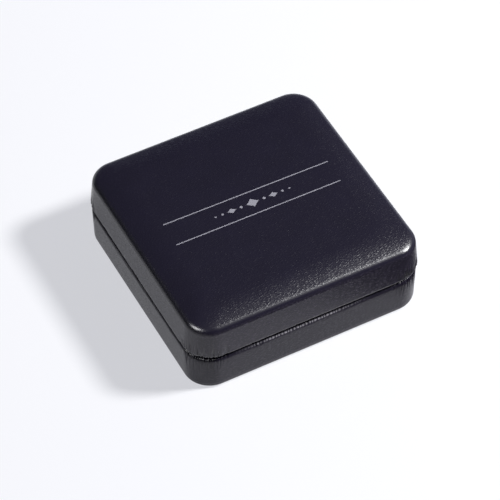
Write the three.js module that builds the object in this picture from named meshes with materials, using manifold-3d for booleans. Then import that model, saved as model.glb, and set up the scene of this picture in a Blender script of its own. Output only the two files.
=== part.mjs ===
// Small leatherette coin case: a padded lid on a snap hinge over a base that holds one coin capsule.
// Millimetres, +Z up, front towards -Y, hinge along X at the back (+Y).
// The origin is the middle of the flat underside of the base.

import * as THREE from "three";
import { mergeVertices } from "three/addons/utils/BufferGeometryUtils.js";
import Module from "manifold-3d";

const wasm = await Module();
wasm.setup();

// The closed case, measured over its covering
const caseWidth = 60;
const caseDepth = 59;
const baseHeight = 10.25;
const lidHeight = 9.7;
const partingGap = 0.3;
const planCornerRadius = 6.8;
const leastCornerRadius = 4;

// Layers of the walls, glued one on the other
const skinThickness = 0.6;
const shellThickness = 0.9;
const glueGap = 0.1;

// Base walls: the bottom edge, and the lean from the bottom out to the rim
const baseBottomInset = 0.44;
const baseRimInset = 0.25;
const baseEdgeRadius = 1.1;

// Rims of both halves, where the covering is wrapped round and turned in
const rimRadius = 1.0;
const rimSeat = 0.3;
const turnInDepth = 3.6;

// Lid: the lean of its walls, its edge, and the soft crown of its padded top
const lidTopInset = 0.63;
const lidEdgeRadius = 1.8;
const crownDrop = 0.7;
const crownReach = 9;
const waddingInset = 4.2;

// Inner collar of the base, which locates the lid
const collarClearance = 0.15;
const collarThickness = 1.0;
const collarRise = 1.35;
const collarBevel = 0.3;

// Coin insert: a foam block under velour, with a recess and two finger scoops
const insertClearance = 0.2;
const velourThickness = 0.5;
const insertBelowRim = 0.7;
const insertEdgeRadius = 0.8;
const recessRadius = 16.4;
const recessDepth = 4.3;
const recessLip = 0.6;
const scoopRadius = 5.5;
const scoopOffset = 16.4;

// Satin pad in the lid: card, foam and satin turned over the edge of the card
const padClearance = 0.3;
const satinThickness = 0.4;
const boardThickness = 1.0;
const padAboveRim = 1.5;
const padEdgeHeight = 0.9;
const padCrownReach = 16;
const padEdgeRadius = 0.9;
const satinTurnOver = 3.5;

// Snap hinge: the axis lies just inside the back face, at the parting height
const hingeAxisInset = 0.2;
const barrelRadius = 1.1;
const knuckleBoreRadius = 0.53;
const pinRadius = 0.45;
const knuckleLength = 5.0;
const knuckleGap = 0.2;
const notchEndGap = 0.3;
const notchGap = 0.25;
const leafThickness = 0.5;
const baseLeafDepth = 6.0;
const lidLeafHeight = 4.6;
const tongueWidth = 3.0;
const tongueReach = 3.6;
const tongueDroopDegrees = 25;
const leafSlotDepth = 1.75;
const springThickness = 0.35;
const springWidth = 3.4;
const springFootLength = 2.4;
const springClearance = 0.3;
const springTipRise = 0.8;
const springBowDrop = 2.2;
const bayClearance = 0.4;

// Rivets: a domed head inside, a shank through leaf and shell
const rivetRadius = 0.55;
const rivetHeadRadius = 0.95;
const rivetHeadHeight = 0.45;
const rivetGap = 0.08;
const baseRivetDrop = 4.8;
const lidRivetRise = 2.8;
const lidRivetOffset = 9.5;

// One overrun for all cuts
const overrun = 2;

// Facet counts
const cornerSteps = 6;
const edgeSteps = 4;
const rimSteps = 3;
const crownSteps = 4;
const recessSides = 40;
const scoopSides = 20;
const barrelSides = 16;
const rivetSides = 12;
const knuckleCount = 5;

// Levels worked out from the sizes above
const baseRimZ = baseHeight;
const lidRimZ = baseHeight + partingGap;
const partingHeight = baseHeight + partingGap / 2;
const caseHeight = lidRimZ + lidHeight;
const wrapThickness = 2 * skinThickness + 2 * glueGap + shellThickness;
const coreOffset = skinThickness + glueGap;
const baseFloorZ = coreOffset + shellThickness;
const crownSlope = Math.atan((2 * crownDrop) / (crownReach - lidTopInset - lidEdgeRadius));
const lidEdgeCentreInset = lidTopInset + lidEdgeRadius;
const lidEdgeCentreZ = caseHeight - crownDrop - lidEdgeRadius * Math.cos(crownSlope);
const lidCeilingZ = lidEdgeCentreZ + lidEdgeRadius - coreOffset - shellThickness;
const lidShellTopZ = lidCeilingZ + shellThickness;

// Hinge places worked out from the sizes above
const axisY = caseDepth / 2 - hingeAxisInset;
const barrelLength = knuckleCount * knuckleLength + (knuckleCount - 1) * knuckleGap;
const notchHalfLength = barrelLength / 2 + notchEndGap;
const knucklePitch = knuckleLength + knuckleGap;
const baseWallInset = (z) => {
  const share = (baseRimZ - rimRadius - z) / (baseRimZ - rimRadius - baseEdgeRadius);
  return baseRimInset + (baseBottomInset - baseRimInset) * Math.min(Math.max(share, 0), 1);
};
const lidWallInset = (z) => {
  const share = (z - lidRimZ - rimRadius) / (lidEdgeCentreZ - lidRimZ - rimRadius);
  return lidTopInset * Math.min(Math.max(share, 0), 1);
};
const innerFaceOffset = coreOffset + shellThickness + glueGap;
const baseLeafY = caseDepth / 2 - baseWallInset(partingHeight - baseLeafDepth) - innerFaceOffset;
const lidLeafY = caseDepth / 2 - lidWallInset(partingHeight + lidLeafHeight) - innerFaceOffset;
const springFaceY = axisY - tongueReach - springClearance;
const bayY = springFaceY - springThickness - bayClearance;
const lidRivetFaceY = lidLeafY - leafThickness - glueGap / 2;
const padInset = caseDepth / 2 - lidRivetFaceY + rivetHeadHeight + padClearance;
const springOffsets = [-knucklePitch, knucklePitch];

const finishes = {
  leatherette: { color: 0x1f1e26, roughness: 0.5, metalness: 0 },
  shell: { color: 0x3a3a3c, roughness: 0.6, metalness: 0 },
  collar: { color: 0x17161b, roughness: 0.45, metalness: 0 },
  foam: { color: 0x55555a, roughness: 0.95, metalness: 0 },
  velour: { color: 0x101014, roughness: 1, metalness: 0 },
  card: { color: 0xb9ad98, roughness: 0.9, metalness: 0 },
  satin: { color: 0xe9e4d8, roughness: 0.4, metalness: 0 },
  steel: { color: 0xc4c4c6, roughness: 0.28, metalness: 1 },
};

// Plan outline of the case moved inwards by inset, anticlockwise from the right-hand side.
function planOutline(inset) {
  const halfX = caseWidth / 2 - inset;
  const halfY = caseDepth / 2 - inset;
  const radius = Math.max(planCornerRadius - inset, leastCornerRadius);
  const points = [];
  for (let corner = 0; corner < 4; corner += 1) {
    const signX = corner === 0 || corner === 3 ? 1 : -1;
    const signY = corner < 2 ? 1 : -1;
    for (let step = 0; step <= cornerSteps; step += 1) {
      const angle = (corner + step / cornerSteps) * (Math.PI / 2);
      const x = signX * (halfX - radius) + radius * Math.cos(angle);
      const y = signY * (halfY - radius) + radius * Math.sin(angle);
      points.push([x, y]);
    }
  }
  return points;
}

// Turns a closed mesh right side out when its volume comes out negative.
function facingOut(positions, index) {
  const a = new THREE.Vector3();
  const b = new THREE.Vector3();
  const c = new THREE.Vector3();
  let volume = 0;
  for (let i = 0; i < index.length; i += 3) {
    a.fromArray(positions, 3 * index[i]);
    b.fromArray(positions, 3 * index[i + 1]);
    c.fromArray(positions, 3 * index[i + 2]);
    volume += a.dot(b.cross(c));
  }
  if (volume < 0) {
    for (let i = 0; i < index.length; i += 3) {
      [index[i + 1], index[i + 2]] = [index[i + 2], index[i + 1]];
    }
  }
  const geometry = new THREE.BufferGeometry();
  geometry.setAttribute("position", new THREE.Float32BufferAttribute(positions, 3));
  geometry.setIndex(index);
  geometry.computeVertexNormals();
  return geometry;
}

// Carries a profile of [inset, height] points round the plan outline. An open profile is closed by a
// flat cap at each end; a ring joins its last point to its first.
function carried(profile, isRing) {
  const positions = [];
  const index = [];
  const count = planOutline(0).length;
  for (const [inset, z] of profile) {
    for (const [x, y] of planOutline(inset)) {
      positions.push(x, y, z);
    }
  }
  const bands = isRing ? profile.length : profile.length - 1;
  for (let band = 0; band < bands; band += 1) {
    const low = band * count;
    const high = ((band + 1) % profile.length) * count;
    for (let i = 0; i < count; i += 1) {
      const j = (i + 1) % count;
      index.push(low + i, low + j, high + j);
      index.push(low + i, high + j, high + i);
    }
  }
  if (!isRing) {
    const last = profile.length - 1;
    const centre = positions.length / 3;
    positions.push(0, 0, profile[0][1], 0, 0, profile[last][1]);
    for (let i = 0; i < count; i += 1) {
      const j = (i + 1) % count;
      index.push(centre, j, i);
      index.push(centre + 1, last * count + i, last * count + j);
    }
  }
  return facingOut(positions, index);
}

// Points of an arc in a profile: 0 degrees faces outwards and 90 degrees faces up.
function arcPoints(centreInset, centreZ, radius, fromDegrees, toDegrees, steps) {
  const points = [];
  for (let step = 0; step <= steps; step += 1) {
    const angle = THREE.MathUtils.degToRad(fromDegrees + ((toDegrees - fromDegrees) * step) / steps);
    points.push([centreInset - radius * Math.cos(angle), centreZ + radius * Math.sin(angle)]);
  }
  return points;
}

// Moves an open profile sideways by a distance, to the right of its run, or to the left if it is
// negative. The profile starts on a flat that runs outwards.
function movedAside(profile, distance) {
  const directions = [[-1, 0]];
  for (let i = 1; i < profile.length; i += 1) {
    const run = profile[i][0] - profile[i - 1][0];
    const rise = profile[i][1] - profile[i - 1][1];
    const length = Math.hypot(run, rise);
    directions.push([run / length, rise / length]);
  }
  directions.push(directions[directions.length - 1]);
  return profile.map(([inset, z], i) => {
    const [runA, riseA] = directions[i];
    const [runB, riseB] = directions[i + 1];
    const mitre = distance / (1 + runA * runB + riseA * riseB);
    return [inset + (riseA + riseB) * mitre, z - (runA + runB) * mitre];
  });
}

// A sheet of even thickness whose outer face is the profile.
function sheetAlong(profile, thickness) {
  return carried([...profile, ...movedAside(profile, thickness).reverse()], false);
}

// Shapes for joining and cutting
function toSolid(geometry) {
  const bare = geometry.clone();
  bare.deleteAttribute("normal");
  bare.deleteAttribute("uv");
  const welded = mergeVertices(bare);
  const vertProperties = Float32Array.from(welded.attributes.position.array);
  const triVerts = Uint32Array.from(welded.index.array);
  return new wasm.Manifold(new wasm.Mesh({ numProp: 3, vertProperties, triVerts }));
}

function toGeometry(solid) {
  const { vertProperties, triVerts } = solid.getMesh();
  return facingOut(Array.from(vertProperties), Array.from(triVerts));
}

function boxSolid(low, high) {
  const size = high.map((value, i) => value - low[i]);
  const geometry = new THREE.BoxGeometry(...size);
  geometry.translate(...low.map((value, i) => value + size[i] / 2));
  return toSolid(geometry);
}

// A round bar along X.
function barAlongX(radius, fromX, toX, y, z, sides) {
  const geometry = new THREE.CylinderGeometry(radius, radius, toX - fromX, sides);
  geometry.rotateZ(Math.PI / 2);
  geometry.translate((fromX + toX) / 2, y, z);
  return toSolid(geometry);
}

// A round bar along Y.
function barAlongY(radius, fromY, toY, x, z, sides) {
  const geometry = new THREE.CylinderGeometry(radius, radius, toY - fromY, sides);
  geometry.translate(x, (fromY + toY) / 2, z);
  return toSolid(geometry);
}

// A flat strip: an outline of [y, z] points carried along X between two ends.
function stripAlongX(outline, fromX, toX) {
  const shape = new THREE.Shape(outline.map(([y, z]) => new THREE.Vector2(y, z)));
  const geometry = new THREE.ExtrudeGeometry(shape, { depth: toX - fromX, bevelEnabled: false });
  const turn = new THREE.Matrix4().makeBasis(
    new THREE.Vector3(0, 1, 0),
    new THREE.Vector3(0, 0, 1),
    new THREE.Vector3(1, 0, 0),
  );
  geometry.applyMatrix4(turn);
  geometry.translate(fromX, 0, 0);
  return toSolid(geometry);
}

// The middle of each knuckle; the base leaf has those at the even places, the lid leaf the others.
function knuckleMiddles(parity) {
  const middles = [];
  for (let i = parity; i < knuckleCount; i += 2) {
    middles.push((i - (knuckleCount - 1) / 2) * knucklePitch);
  }
  return middles;
}

// The slot through the back of the rims where the barrel and the leaves pass.
function hingeNotch() {
  const reach = barrelRadius + notchGap;
  const low = [-notchHalfLength, bayY, partingHeight - reach];
  const high = [notchHalfLength, caseDepth / 2 + overrun, partingHeight + reach];
  return boxSolid(low, high);
}

// The room inside the shell's back wall where the covering isn't turned in, so that a leaf can lie there.
function leafRoom(innerY, fromZ, toZ) {
  const low = [-notchHalfLength, bayY, fromZ];
  const high = [notchHalfLength, innerY, toZ];
  return boxSolid(low, high);
}

// Outer profile of the base, from the middle of the underside to the end of the turned-in covering
function baseWallProfile() {
  return [
    ...arcPoints(baseBottomInset + baseEdgeRadius, baseEdgeRadius, baseEdgeRadius, -90, 0, edgeSteps),
    [baseRimInset, baseRimZ - rimRadius],
  ];
}

function baseSkinGeometry() {
  const rimCentreZ = baseRimZ - rimRadius;
  const outerCentre = baseRimInset + rimRadius;
  const innerCentre = baseRimInset + wrapThickness - rimRadius;
  const profile = [
    ...baseWallProfile().slice(0, -1),
    ...arcPoints(outerCentre, rimCentreZ, rimRadius, 0, 90, rimSteps),
    ...arcPoints(innerCentre, rimCentreZ, rimRadius, 90, 180, rimSteps),
    [baseRimInset + wrapThickness, baseRimZ - turnInDepth],
  ];
  const leafTop = partingHeight + overrun;
  const leafBottom = baseRimZ - turnInDepth - overrun;
  const skin = toSolid(sheetAlong(profile, skinThickness));
  const room = leafRoom(caseDepth / 2 - baseRimInset - coreOffset - shellThickness, leafBottom, leafTop);
  return toGeometry(skin.subtract(hingeNotch()).subtract(room));
}

function baseShellGeometry() {
  const rim = [baseRimInset, baseRimZ - skinThickness - rimSeat];
  const outside = movedAside([...baseWallProfile(), rim], coreOffset);
  // The inside corner is sharp, because the outer edge radius is less than the two layers together.
  const inside = movedAside([[baseBottomInset, 0], rim], coreOffset + shellThickness);
  let shell = toSolid(carried([...outside, ...inside.reverse()], false)).subtract(hingeNotch());
  for (const x of springOffsets) {
    shell = shell.subtract(rivetHole(x, partingHeight - baseRivetDrop));
  }
  return toGeometry(shell);
}

function collarGeometry() {
  const outer = baseRimInset + wrapThickness + collarClearance;
  const inner = outer + collarThickness;
  const top = baseRimZ + collarRise;
  const floor = baseFloorZ + glueGap;
  const profile = [
    [outer, floor],
    [outer, top - collarBevel],
    [outer + collarBevel, top],
    [inner - collarBevel, top],
    [inner, top - collarBevel],
    [inner, floor],
  ];
  const bay = boxSolid([-notchHalfLength, bayY, -overrun], [notchHalfLength, caseDepth, caseHeight]);
  return toGeometry(toSolid(carried(profile, true)).subtract(bay));
}

// Profile of the coin insert: a block with a rounded top edge
function insertProfile(growth, lowZ, bottomClearance) {
  const edge = baseRimInset + wrapThickness + collarClearance + collarThickness + insertClearance;
  const inset = edge + growth;
  const top = baseRimZ - insertBelowRim - growth;
  const radius = insertEdgeRadius;
  return [[inset, lowZ + bottomClearance], ...arcPoints(inset + radius, top - radius, radius, 0, 90, rimSteps)];
}

// The coin recess with its finger scoops, grown by a distance, with a flared lip at the top
function recessSolid(growth) {
  const top = baseRimZ - insertBelowRim;
  const floor = top - recessDepth - growth;
  const cup = (radius, sides) => {
    const points = [new THREE.Vector2(0, floor), new THREE.Vector2(radius, floor)];
    for (let step = 0; step <= rimSteps; step += 1) {
      const angle = (step / rimSteps) * (Math.PI / 2);
      const flare = recessLip * (1 - Math.cos(angle));
      const rise = recessLip * (Math.sin(angle) - 1);
      points.push(new THREE.Vector2(radius + flare, top + rise));
    }
    points.push(new THREE.Vector2(radius + recessLip, top + overrun));
    points.push(new THREE.Vector2(0, top + overrun));
    const geometry = new THREE.LatheGeometry(points, sides);
    geometry.rotateX(Math.PI / 2);
    return toSolid(geometry);
  };
  const scoop = cup(scoopRadius + growth, scoopSides);
  return cup(recessRadius + growth, recessSides)
    .add(scoop.translate([scoopOffset, 0, 0]))
    .add(scoop.translate([-scoopOffset, 0, 0]));
}

// The hinge bay cut out of the back of the insert, grown by a distance
function insertBay(growth) {
  const low = [-notchHalfLength - growth, bayY - growth, -overrun];
  const high = [notchHalfLength + growth, caseDepth, caseHeight];
  return boxSolid(low, high);
}

function velourGeometry() {
  const skirtZ = baseRimZ - insertBelowRim - recessDepth - velourThickness;
  const outer = toSolid(carried(insertProfile(0, skirtZ, 0), false));
  const core = toSolid(carried(insertProfile(velourThickness, skirtZ, -overrun), false));
  const hollow = core.subtract(recessSolid(velourThickness)).subtract(insertBay(velourThickness));
  return toGeometry(outer.subtract(recessSolid(0)).subtract(insertBay(0)).subtract(hollow));
}

function insertBlockGeometry() {
  const growth = velourThickness + glueGap;
  const block = toSolid(carried(insertProfile(growth, baseFloorZ, glueGap), false));
  return toGeometry(block.subtract(recessSolid(growth)).subtract(insertBay(growth)));
}

// Outer profile of the lid, from the middle of the top to the start of the rim
function lidWallProfile() {
  const slope = THREE.MathUtils.radToDeg(crownSlope);
  const edge = arcPoints(lidEdgeCentreInset, lidEdgeCentreZ, lidEdgeRadius, 90 - slope, 0, edgeSteps);
  const crown = [];
  const [edgeInset, edgeZ] = edge[0];
  for (let step = 0; step < crownSteps; step += 1) {
    const share = 1 - step / crownSteps;
    const inset = edgeInset + (crownReach - edgeInset) * share;
    crown.push([inset, edgeZ + (caseHeight - edgeZ) * (1 - (1 - share) ** 2)]);
  }
  return [...crown, ...edge];
}

function lidSkinGeometry() {
  const rimCentreZ = lidRimZ + rimRadius;
  const profile = [
    ...lidWallProfile(),
    ...arcPoints(rimRadius, rimCentreZ, rimRadius, 0, -90, rimSteps),
    ...arcPoints(wrapThickness - rimRadius, rimCentreZ, rimRadius, -90, -180, rimSteps),
    [wrapThickness + lidWallInset(lidRimZ + turnInDepth), lidRimZ + turnInDepth],
  ];
  const skin = toSolid(sheetAlong(profile, -skinThickness));
  const leafTop = lidRimZ + turnInDepth + overrun;
  const room = leafRoom(caseDepth / 2 - coreOffset - shellThickness, partingHeight - overrun, leafTop);
  return toGeometry(skin.subtract(hingeNotch()).subtract(room));
}

function lidShellGeometry() {
  const wall = [
    [crownReach, lidEdgeCentreZ + lidEdgeRadius],
    ...arcPoints(lidEdgeCentreInset, lidEdgeCentreZ, lidEdgeRadius, 90, 0, edgeSteps),
    [0, lidRimZ + rimRadius],
    [0, lidRimZ + skinThickness + rimSeat],
  ];
  const profile = movedAside(wall, -coreOffset);
  let shell = toSolid(sheetAlong(profile, -shellThickness)).subtract(hingeNotch());
  for (const side of [-1, 1]) {
    shell = shell.subtract(rivetHole(side * lidRivetOffset, partingHeight + lidRivetRise));
  }
  return toGeometry(shell);
}

function waddingGeometry() {
  const underside = lidShellTopZ + glueGap;
  const skinInside = movedAside(lidWallProfile(), -skinThickness - glueGap);
  const top = skinInside.filter(([inset]) => inset > waddingInset);
  const [edgeInset] = top[top.length - 1];
  return carried([...top, [edgeInset, underside]], false);
}

// Profile of the satin pad, from the middle of its crown to the edge of the satin behind the card
function padProfile() {
  const lowest = lidRimZ + padAboveRim;
  const backZ = lidCeilingZ - glueGap;
  const edgeZ = foamBackZ() - padEdgeHeight;
  const padCrown = edgeZ - padEdgeRadius - lowest;
  const edge = arcPoints(padInset + padEdgeRadius, edgeZ, padEdgeRadius, -90, 0, rimSteps);
  const crown = [];
  const reach = padCrownReach - edge[0][0];
  for (let step = 0; step < crownSteps; step += 1) {
    const share = step / crownSteps;
    crown.push([padCrownReach - reach * share, lowest + padCrown * share ** 2]);
  }
  return [...crown, ...edge, [padInset, backZ], [padInset + satinTurnOver, backZ]];
}

// The level where the foam meets the card, below the two layers of satin and card
function foamBackZ() {
  return lidCeilingZ - 3 * glueGap - satinThickness - boardThickness;
}

function satinGeometry() {
  return sheetAlong(padProfile(), satinThickness);
}

function liningFoamGeometry() {
  const inner = movedAside(padProfile(), satinThickness + glueGap);
  const front = inner.slice(0, -2);
  return carried([...front, [front[front.length - 1][0], foamBackZ()]], false);
}

function liningBoardGeometry() {
  const inner = movedAside(padProfile(), satinThickness + glueGap);
  const inset = inner[inner.length - 2][0];
  const top = lidCeilingZ - 2 * glueGap - satinThickness;
  return carried([[inset, top - boardThickness], [inset, top]], false);
}

// Hinge pieces
function rivetHole(x, z) {
  return barAlongY(rivetRadius + rivetGap, bayY, caseDepth / 2 + overrun, x, z, rivetSides);
}

function knuckle(middle) {
  const from = middle - knuckleLength / 2;
  const to = middle + knuckleLength / 2;
  return barAlongX(barrelRadius, from, to, axisY, partingHeight, barrelSides);
}

// side is -1 for the base leaf, below the axis, and 1 for the lid leaf, above it
function leafSolid(side, parity, faceY, reach) {
  const plateEnd = partingHeight + side * reach;
  const webNear = partingHeight + side * (barrelRadius - leafThickness);
  const webFar = partingHeight + side * barrelRadius;
  const slotEnd = partingHeight + side * leafSlotDepth;
  const bottom = Math.min(slotEnd, plateEnd);
  const top = Math.max(slotEnd, plateEnd);
  const innerY = faceY - leafThickness;
  let leaf = boxSolid([-barrelLength / 2, innerY, bottom], [barrelLength / 2, faceY, top]);
  for (const middle of knuckleMiddles(parity)) {
    const from = middle - knuckleLength / 2;
    const to = middle + knuckleLength / 2;
    const web = boxSolid([from, innerY, Math.min(webNear, webFar)], [to, axisY, Math.max(webNear, webFar)]);
    const riserLow = Math.min(webNear, slotEnd);
    const riserHigh = Math.max(webNear, slotEnd);
    const riser = boxSolid([from, innerY, riserLow], [to, faceY, riserHigh]);
    leaf = leaf.add(knuckle(middle)).add(web).add(riser);
  }
  return leaf;
}

function boredForPin(leaf) {
  const half = barrelLength / 2 + overrun;
  return leaf.subtract(barAlongX(knuckleBoreRadius, -half, half, axisY, partingHeight, barrelSides));
}

function baseLeafGeometry() {
  let leaf = leafSolid(-1, 0, baseLeafY, baseLeafDepth);
  for (const x of springOffsets) {
    leaf = leaf.subtract(rivetHole(x, partingHeight - baseRivetDrop));
  }
  return toGeometry(boredForPin(leaf));
}

// A tongue runs inwards from the barrel and a little down, to where the spring bears on it.
function tongueSolid(middle) {
  const droop = THREE.MathUtils.degToRad(tongueDroopDegrees);
  const half = leafThickness / 2;
  const along = [-Math.cos(droop), -Math.sin(droop)];
  const across = [-along[1] * half, along[0] * half];
  const root = barrelRadius - half;
  const corner = (distance, side) => [
    axisY + along[0] * distance + side * across[0],
    partingHeight + along[1] * distance + side * across[1],
  ];
  const outline = [corner(root, 1), corner(root, -1), corner(tongueReach, -1), corner(tongueReach, 1)];
  return stripAlongX(outline, middle - tongueWidth / 2, middle + tongueWidth / 2);
}

function lidLeafGeometry() {
  let leaf = leafSolid(1, 1, lidLeafY, lidLeafHeight);
  for (const middle of knuckleMiddles(1)) {
    leaf = leaf.add(tongueSolid(middle));
  }
  for (const side of [-1, 1]) {
    leaf = leaf.subtract(rivetHole(side * lidRivetOffset, partingHeight + lidRivetRise));
  }
  return toGeometry(boredForPin(leaf));
}

function pinGeometry() {
  const half = barrelLength / 2;
  return toGeometry(barAlongX(pinRadius, -half, half, axisY, partingHeight, barrelSides));
}

// A leaf spring: a foot riveted to the base leaf, a bow forwards, and a blade in front of the tongue
function springGeometry(x) {
  const footFace = baseLeafY - leafThickness - glueGap / 2;
  const footMiddle = partingHeight - baseRivetDrop;
  const footBottom = footMiddle - springFootLength / 2;
  const footTop = footMiddle + springFootLength / 2;
  const bowZ = partingHeight - springBowDrop;
  const tipZ = partingHeight + springTipRise;
  const outline = [
    [footFace, footBottom],
    [footFace, footTop],
    [springFaceY, bowZ],
    [springFaceY, tipZ],
    [springFaceY - springThickness, tipZ],
    [springFaceY - springThickness, bowZ - springThickness / 2],
    [footFace - springThickness, footTop - springThickness / 2],
    [footFace - springThickness, footBottom],
  ];
  const strip = stripAlongX(outline, x - springWidth / 2, x + springWidth / 2);
  return toGeometry(strip.subtract(rivetHole(x, footMiddle)));
}

// A rivet: its shank ends flush with the outside of the shell, its domed head sits on faceY
function rivetGeometry(x, z, endY, faceY) {
  const top = endY - faceY;
  const points = [
    new THREE.Vector2(0, -rivetHeadHeight),
    new THREE.Vector2(rivetHeadRadius * Math.SQRT1_2, -rivetHeadHeight * Math.SQRT1_2),
    new THREE.Vector2(rivetHeadRadius, 0),
    new THREE.Vector2(rivetRadius, 0),
    new THREE.Vector2(rivetRadius, top),
    new THREE.Vector2(0, top),
  ];
  const geometry = new THREE.LatheGeometry(points, rivetSides);
  geometry.translate(x, faceY, z);
  return toGeometry(toSolid(geometry));
}

function baseRivetGeometry(x) {
  const z = partingHeight - baseRivetDrop;
  const endY = caseDepth / 2 - baseWallInset(z) - coreOffset - glueGap;
  const faceY = baseLeafY - leafThickness - glueGap - springThickness;
  return rivetGeometry(x, z, endY, faceY);
}

function lidRivetGeometry(x) {
  const z = partingHeight + lidRivetRise;
  const endY = caseDepth / 2 - lidWallInset(z) - coreOffset - glueGap;
  return rivetGeometry(x, z, endY, lidRivetFaceY);
}

function piece(name, finish, geometry) {
  const mesh = new THREE.Mesh(geometry, new THREE.MeshStandardMaterial(finishes[finish]));
  mesh.name = name;
  return mesh;
}

const base = new THREE.Group();
base.add(piece("base_leatherette", "leatherette", baseSkinGeometry()));
base.add(piece("base_shell", "shell", baseShellGeometry()));
base.add(piece("rim_collar", "collar", collarGeometry()));
base.add(piece("insert_block", "foam", insertBlockGeometry()));
base.add(piece("insert_velour", "velour", velourGeometry()));
base.add(piece("hinge_base_leaf", "steel", baseLeafGeometry()));
base.add(piece("hinge_pin", "steel", pinGeometry()));

const lid = new THREE.Group();
lid.add(piece("lid_leatherette", "leatherette", lidSkinGeometry()));
lid.add(piece("lid_wadding", "foam", waddingGeometry()));
lid.add(piece("lid_shell", "shell", lidShellGeometry()));
lid.add(piece("lining_board", "card", liningBoardGeometry()));
lid.add(piece("lining_foam", "foam", liningFoamGeometry()));
lid.add(piece("lining_satin", "satin", satinGeometry()));
lid.add(piece("hinge_lid_leaf", "steel", lidLeafGeometry()));

const sides = ["left", "right"];
sides.forEach((side, i) => {
  const sign = 2 * i - 1;
  base.add(piece(`snap_spring_${side}`, "steel", springGeometry(springOffsets[i])));
  base.add(piece(`base_rivet_${side}`, "steel", baseRivetGeometry(springOffsets[i])));
  lid.add(piece(`lid_rivet_${side}`, "steel", lidRivetGeometry(sign * lidRivetOffset)));
});

const coinCase = new THREE.Group();
coinCase.add(base, lid);

export default coinCase;
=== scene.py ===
import logging
import math
from collections.abc import Callable
from dataclasses import dataclass, field
from enum import Enum
from functools import partial

import bmesh
import bpy
import numpy as np
from mathutils import Matrix, Vector


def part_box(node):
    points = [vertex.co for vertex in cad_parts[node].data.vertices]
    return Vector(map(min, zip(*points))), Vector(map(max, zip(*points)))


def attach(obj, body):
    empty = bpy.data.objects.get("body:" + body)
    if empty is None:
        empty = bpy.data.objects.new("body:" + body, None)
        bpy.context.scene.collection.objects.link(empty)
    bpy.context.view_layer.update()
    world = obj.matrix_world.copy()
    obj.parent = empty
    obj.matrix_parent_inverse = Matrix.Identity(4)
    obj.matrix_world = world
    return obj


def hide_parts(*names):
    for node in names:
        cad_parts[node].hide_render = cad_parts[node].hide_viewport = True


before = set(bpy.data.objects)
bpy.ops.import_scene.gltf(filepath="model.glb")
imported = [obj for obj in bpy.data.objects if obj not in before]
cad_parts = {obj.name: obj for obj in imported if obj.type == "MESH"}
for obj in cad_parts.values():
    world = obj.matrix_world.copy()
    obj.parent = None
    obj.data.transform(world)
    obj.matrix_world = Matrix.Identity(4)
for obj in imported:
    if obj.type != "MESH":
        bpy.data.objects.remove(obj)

LOG = logging.getLogger("coin_case")
MM = 0.001
Grid = np.ndarray
Shell = tuple[Grid, list[Grid]]
Inputs = dict[str | int, object]
AddNode = Callable[..., bpy.types.Node]


class Body(Enum):
    """The two rigid bodies of the case."""

    BASE = "case_base"
    LID = "case_lid"


class Half(Enum):
    """Which way a half of the case stands: its rim faces up on the base and down on the lid."""

    BASE = 1
    LID = -1


def linear_colour(hex_code: str) -> tuple[float, ...]:
    """Turns an sRGB hex colour into linear RGBA.

    Args:
        hex_code: six hex digits.

    Returns:
        Linear red, green and blue with an alpha of 1.
    """
    values = [int(hex_code[i : i + 2], 16) / 255 for i in (0, 2, 4)]
    return (*(v / 12.92 if v <= 0.04045 else ((v + 0.055) / 1.055) ** 2.4 for v in values), 1.0)


def add_node(
    tree: bpy.types.NodeTree, kind: str, inputs: Inputs | None = None, **settings: object
) -> bpy.types.Node:
    """Adds one node, sets its properties, and fills or links its inputs.

    Args:
        tree: the node tree that gets the node.
        kind: the node's Blender type name.
        inputs: input names or places, each with a value, a hex colour or a socket to link from.
        settings: property names and values.

    Returns:
        The new node.
    """
    node = tree.nodes.new(kind)
    for name, value in settings.items():
        setattr(node, name, value)
    for key, value in (inputs or {}).items():
        if isinstance(value, bpy.types.NodeSocket):
            tree.links.new(value, node.inputs[key])
        else:
            node.inputs[key].default_value = linear_colour(value) if isinstance(value, str) else value
    return node


def bare_tree(owner: bpy.types.Material | bpy.types.World) -> AddNode:
    """Empties the node tree of a material or world.

    Args:
        owner: the material or world.

    Returns:
        add_node, bound to that tree.
    """
    owner.use_nodes = True
    owner.node_tree.nodes.clear()
    return partial(add_node, owner.node_tree)


def new_material(name: str) -> tuple[bpy.types.Material, AddNode, bpy.types.NodeSocket]:
    """Starts a node material whose patterns are laid out in millimetres of the object.

    Args:
        name: the material's name.

    Returns:
        The material, add_node for its tree, and the socket with the place in millimetres.
    """
    material = bpy.data.materials.new(name)
    add = bare_tree(material)
    place = add("ShaderNodeTexCoord").outputs["Object"]
    in_mm = add("ShaderNodeVectorMath", {0: place, 1: (1 / MM, 1 / MM, 1 / MM)}, operation="MULTIPLY")
    return material, add, in_mm.outputs[0]


def finish_material(add: AddNode, inputs: Inputs) -> None:
    """Adds the surface shader and the output.

    Args:
        add: add_node for the material's tree.
        inputs: inputs of the Principled shader.
    """
    shader = add("ShaderNodeBsdfPrincipled", inputs)
    add("ShaderNodeOutputMaterial", {"Surface": shader.outputs[0]})


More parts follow.
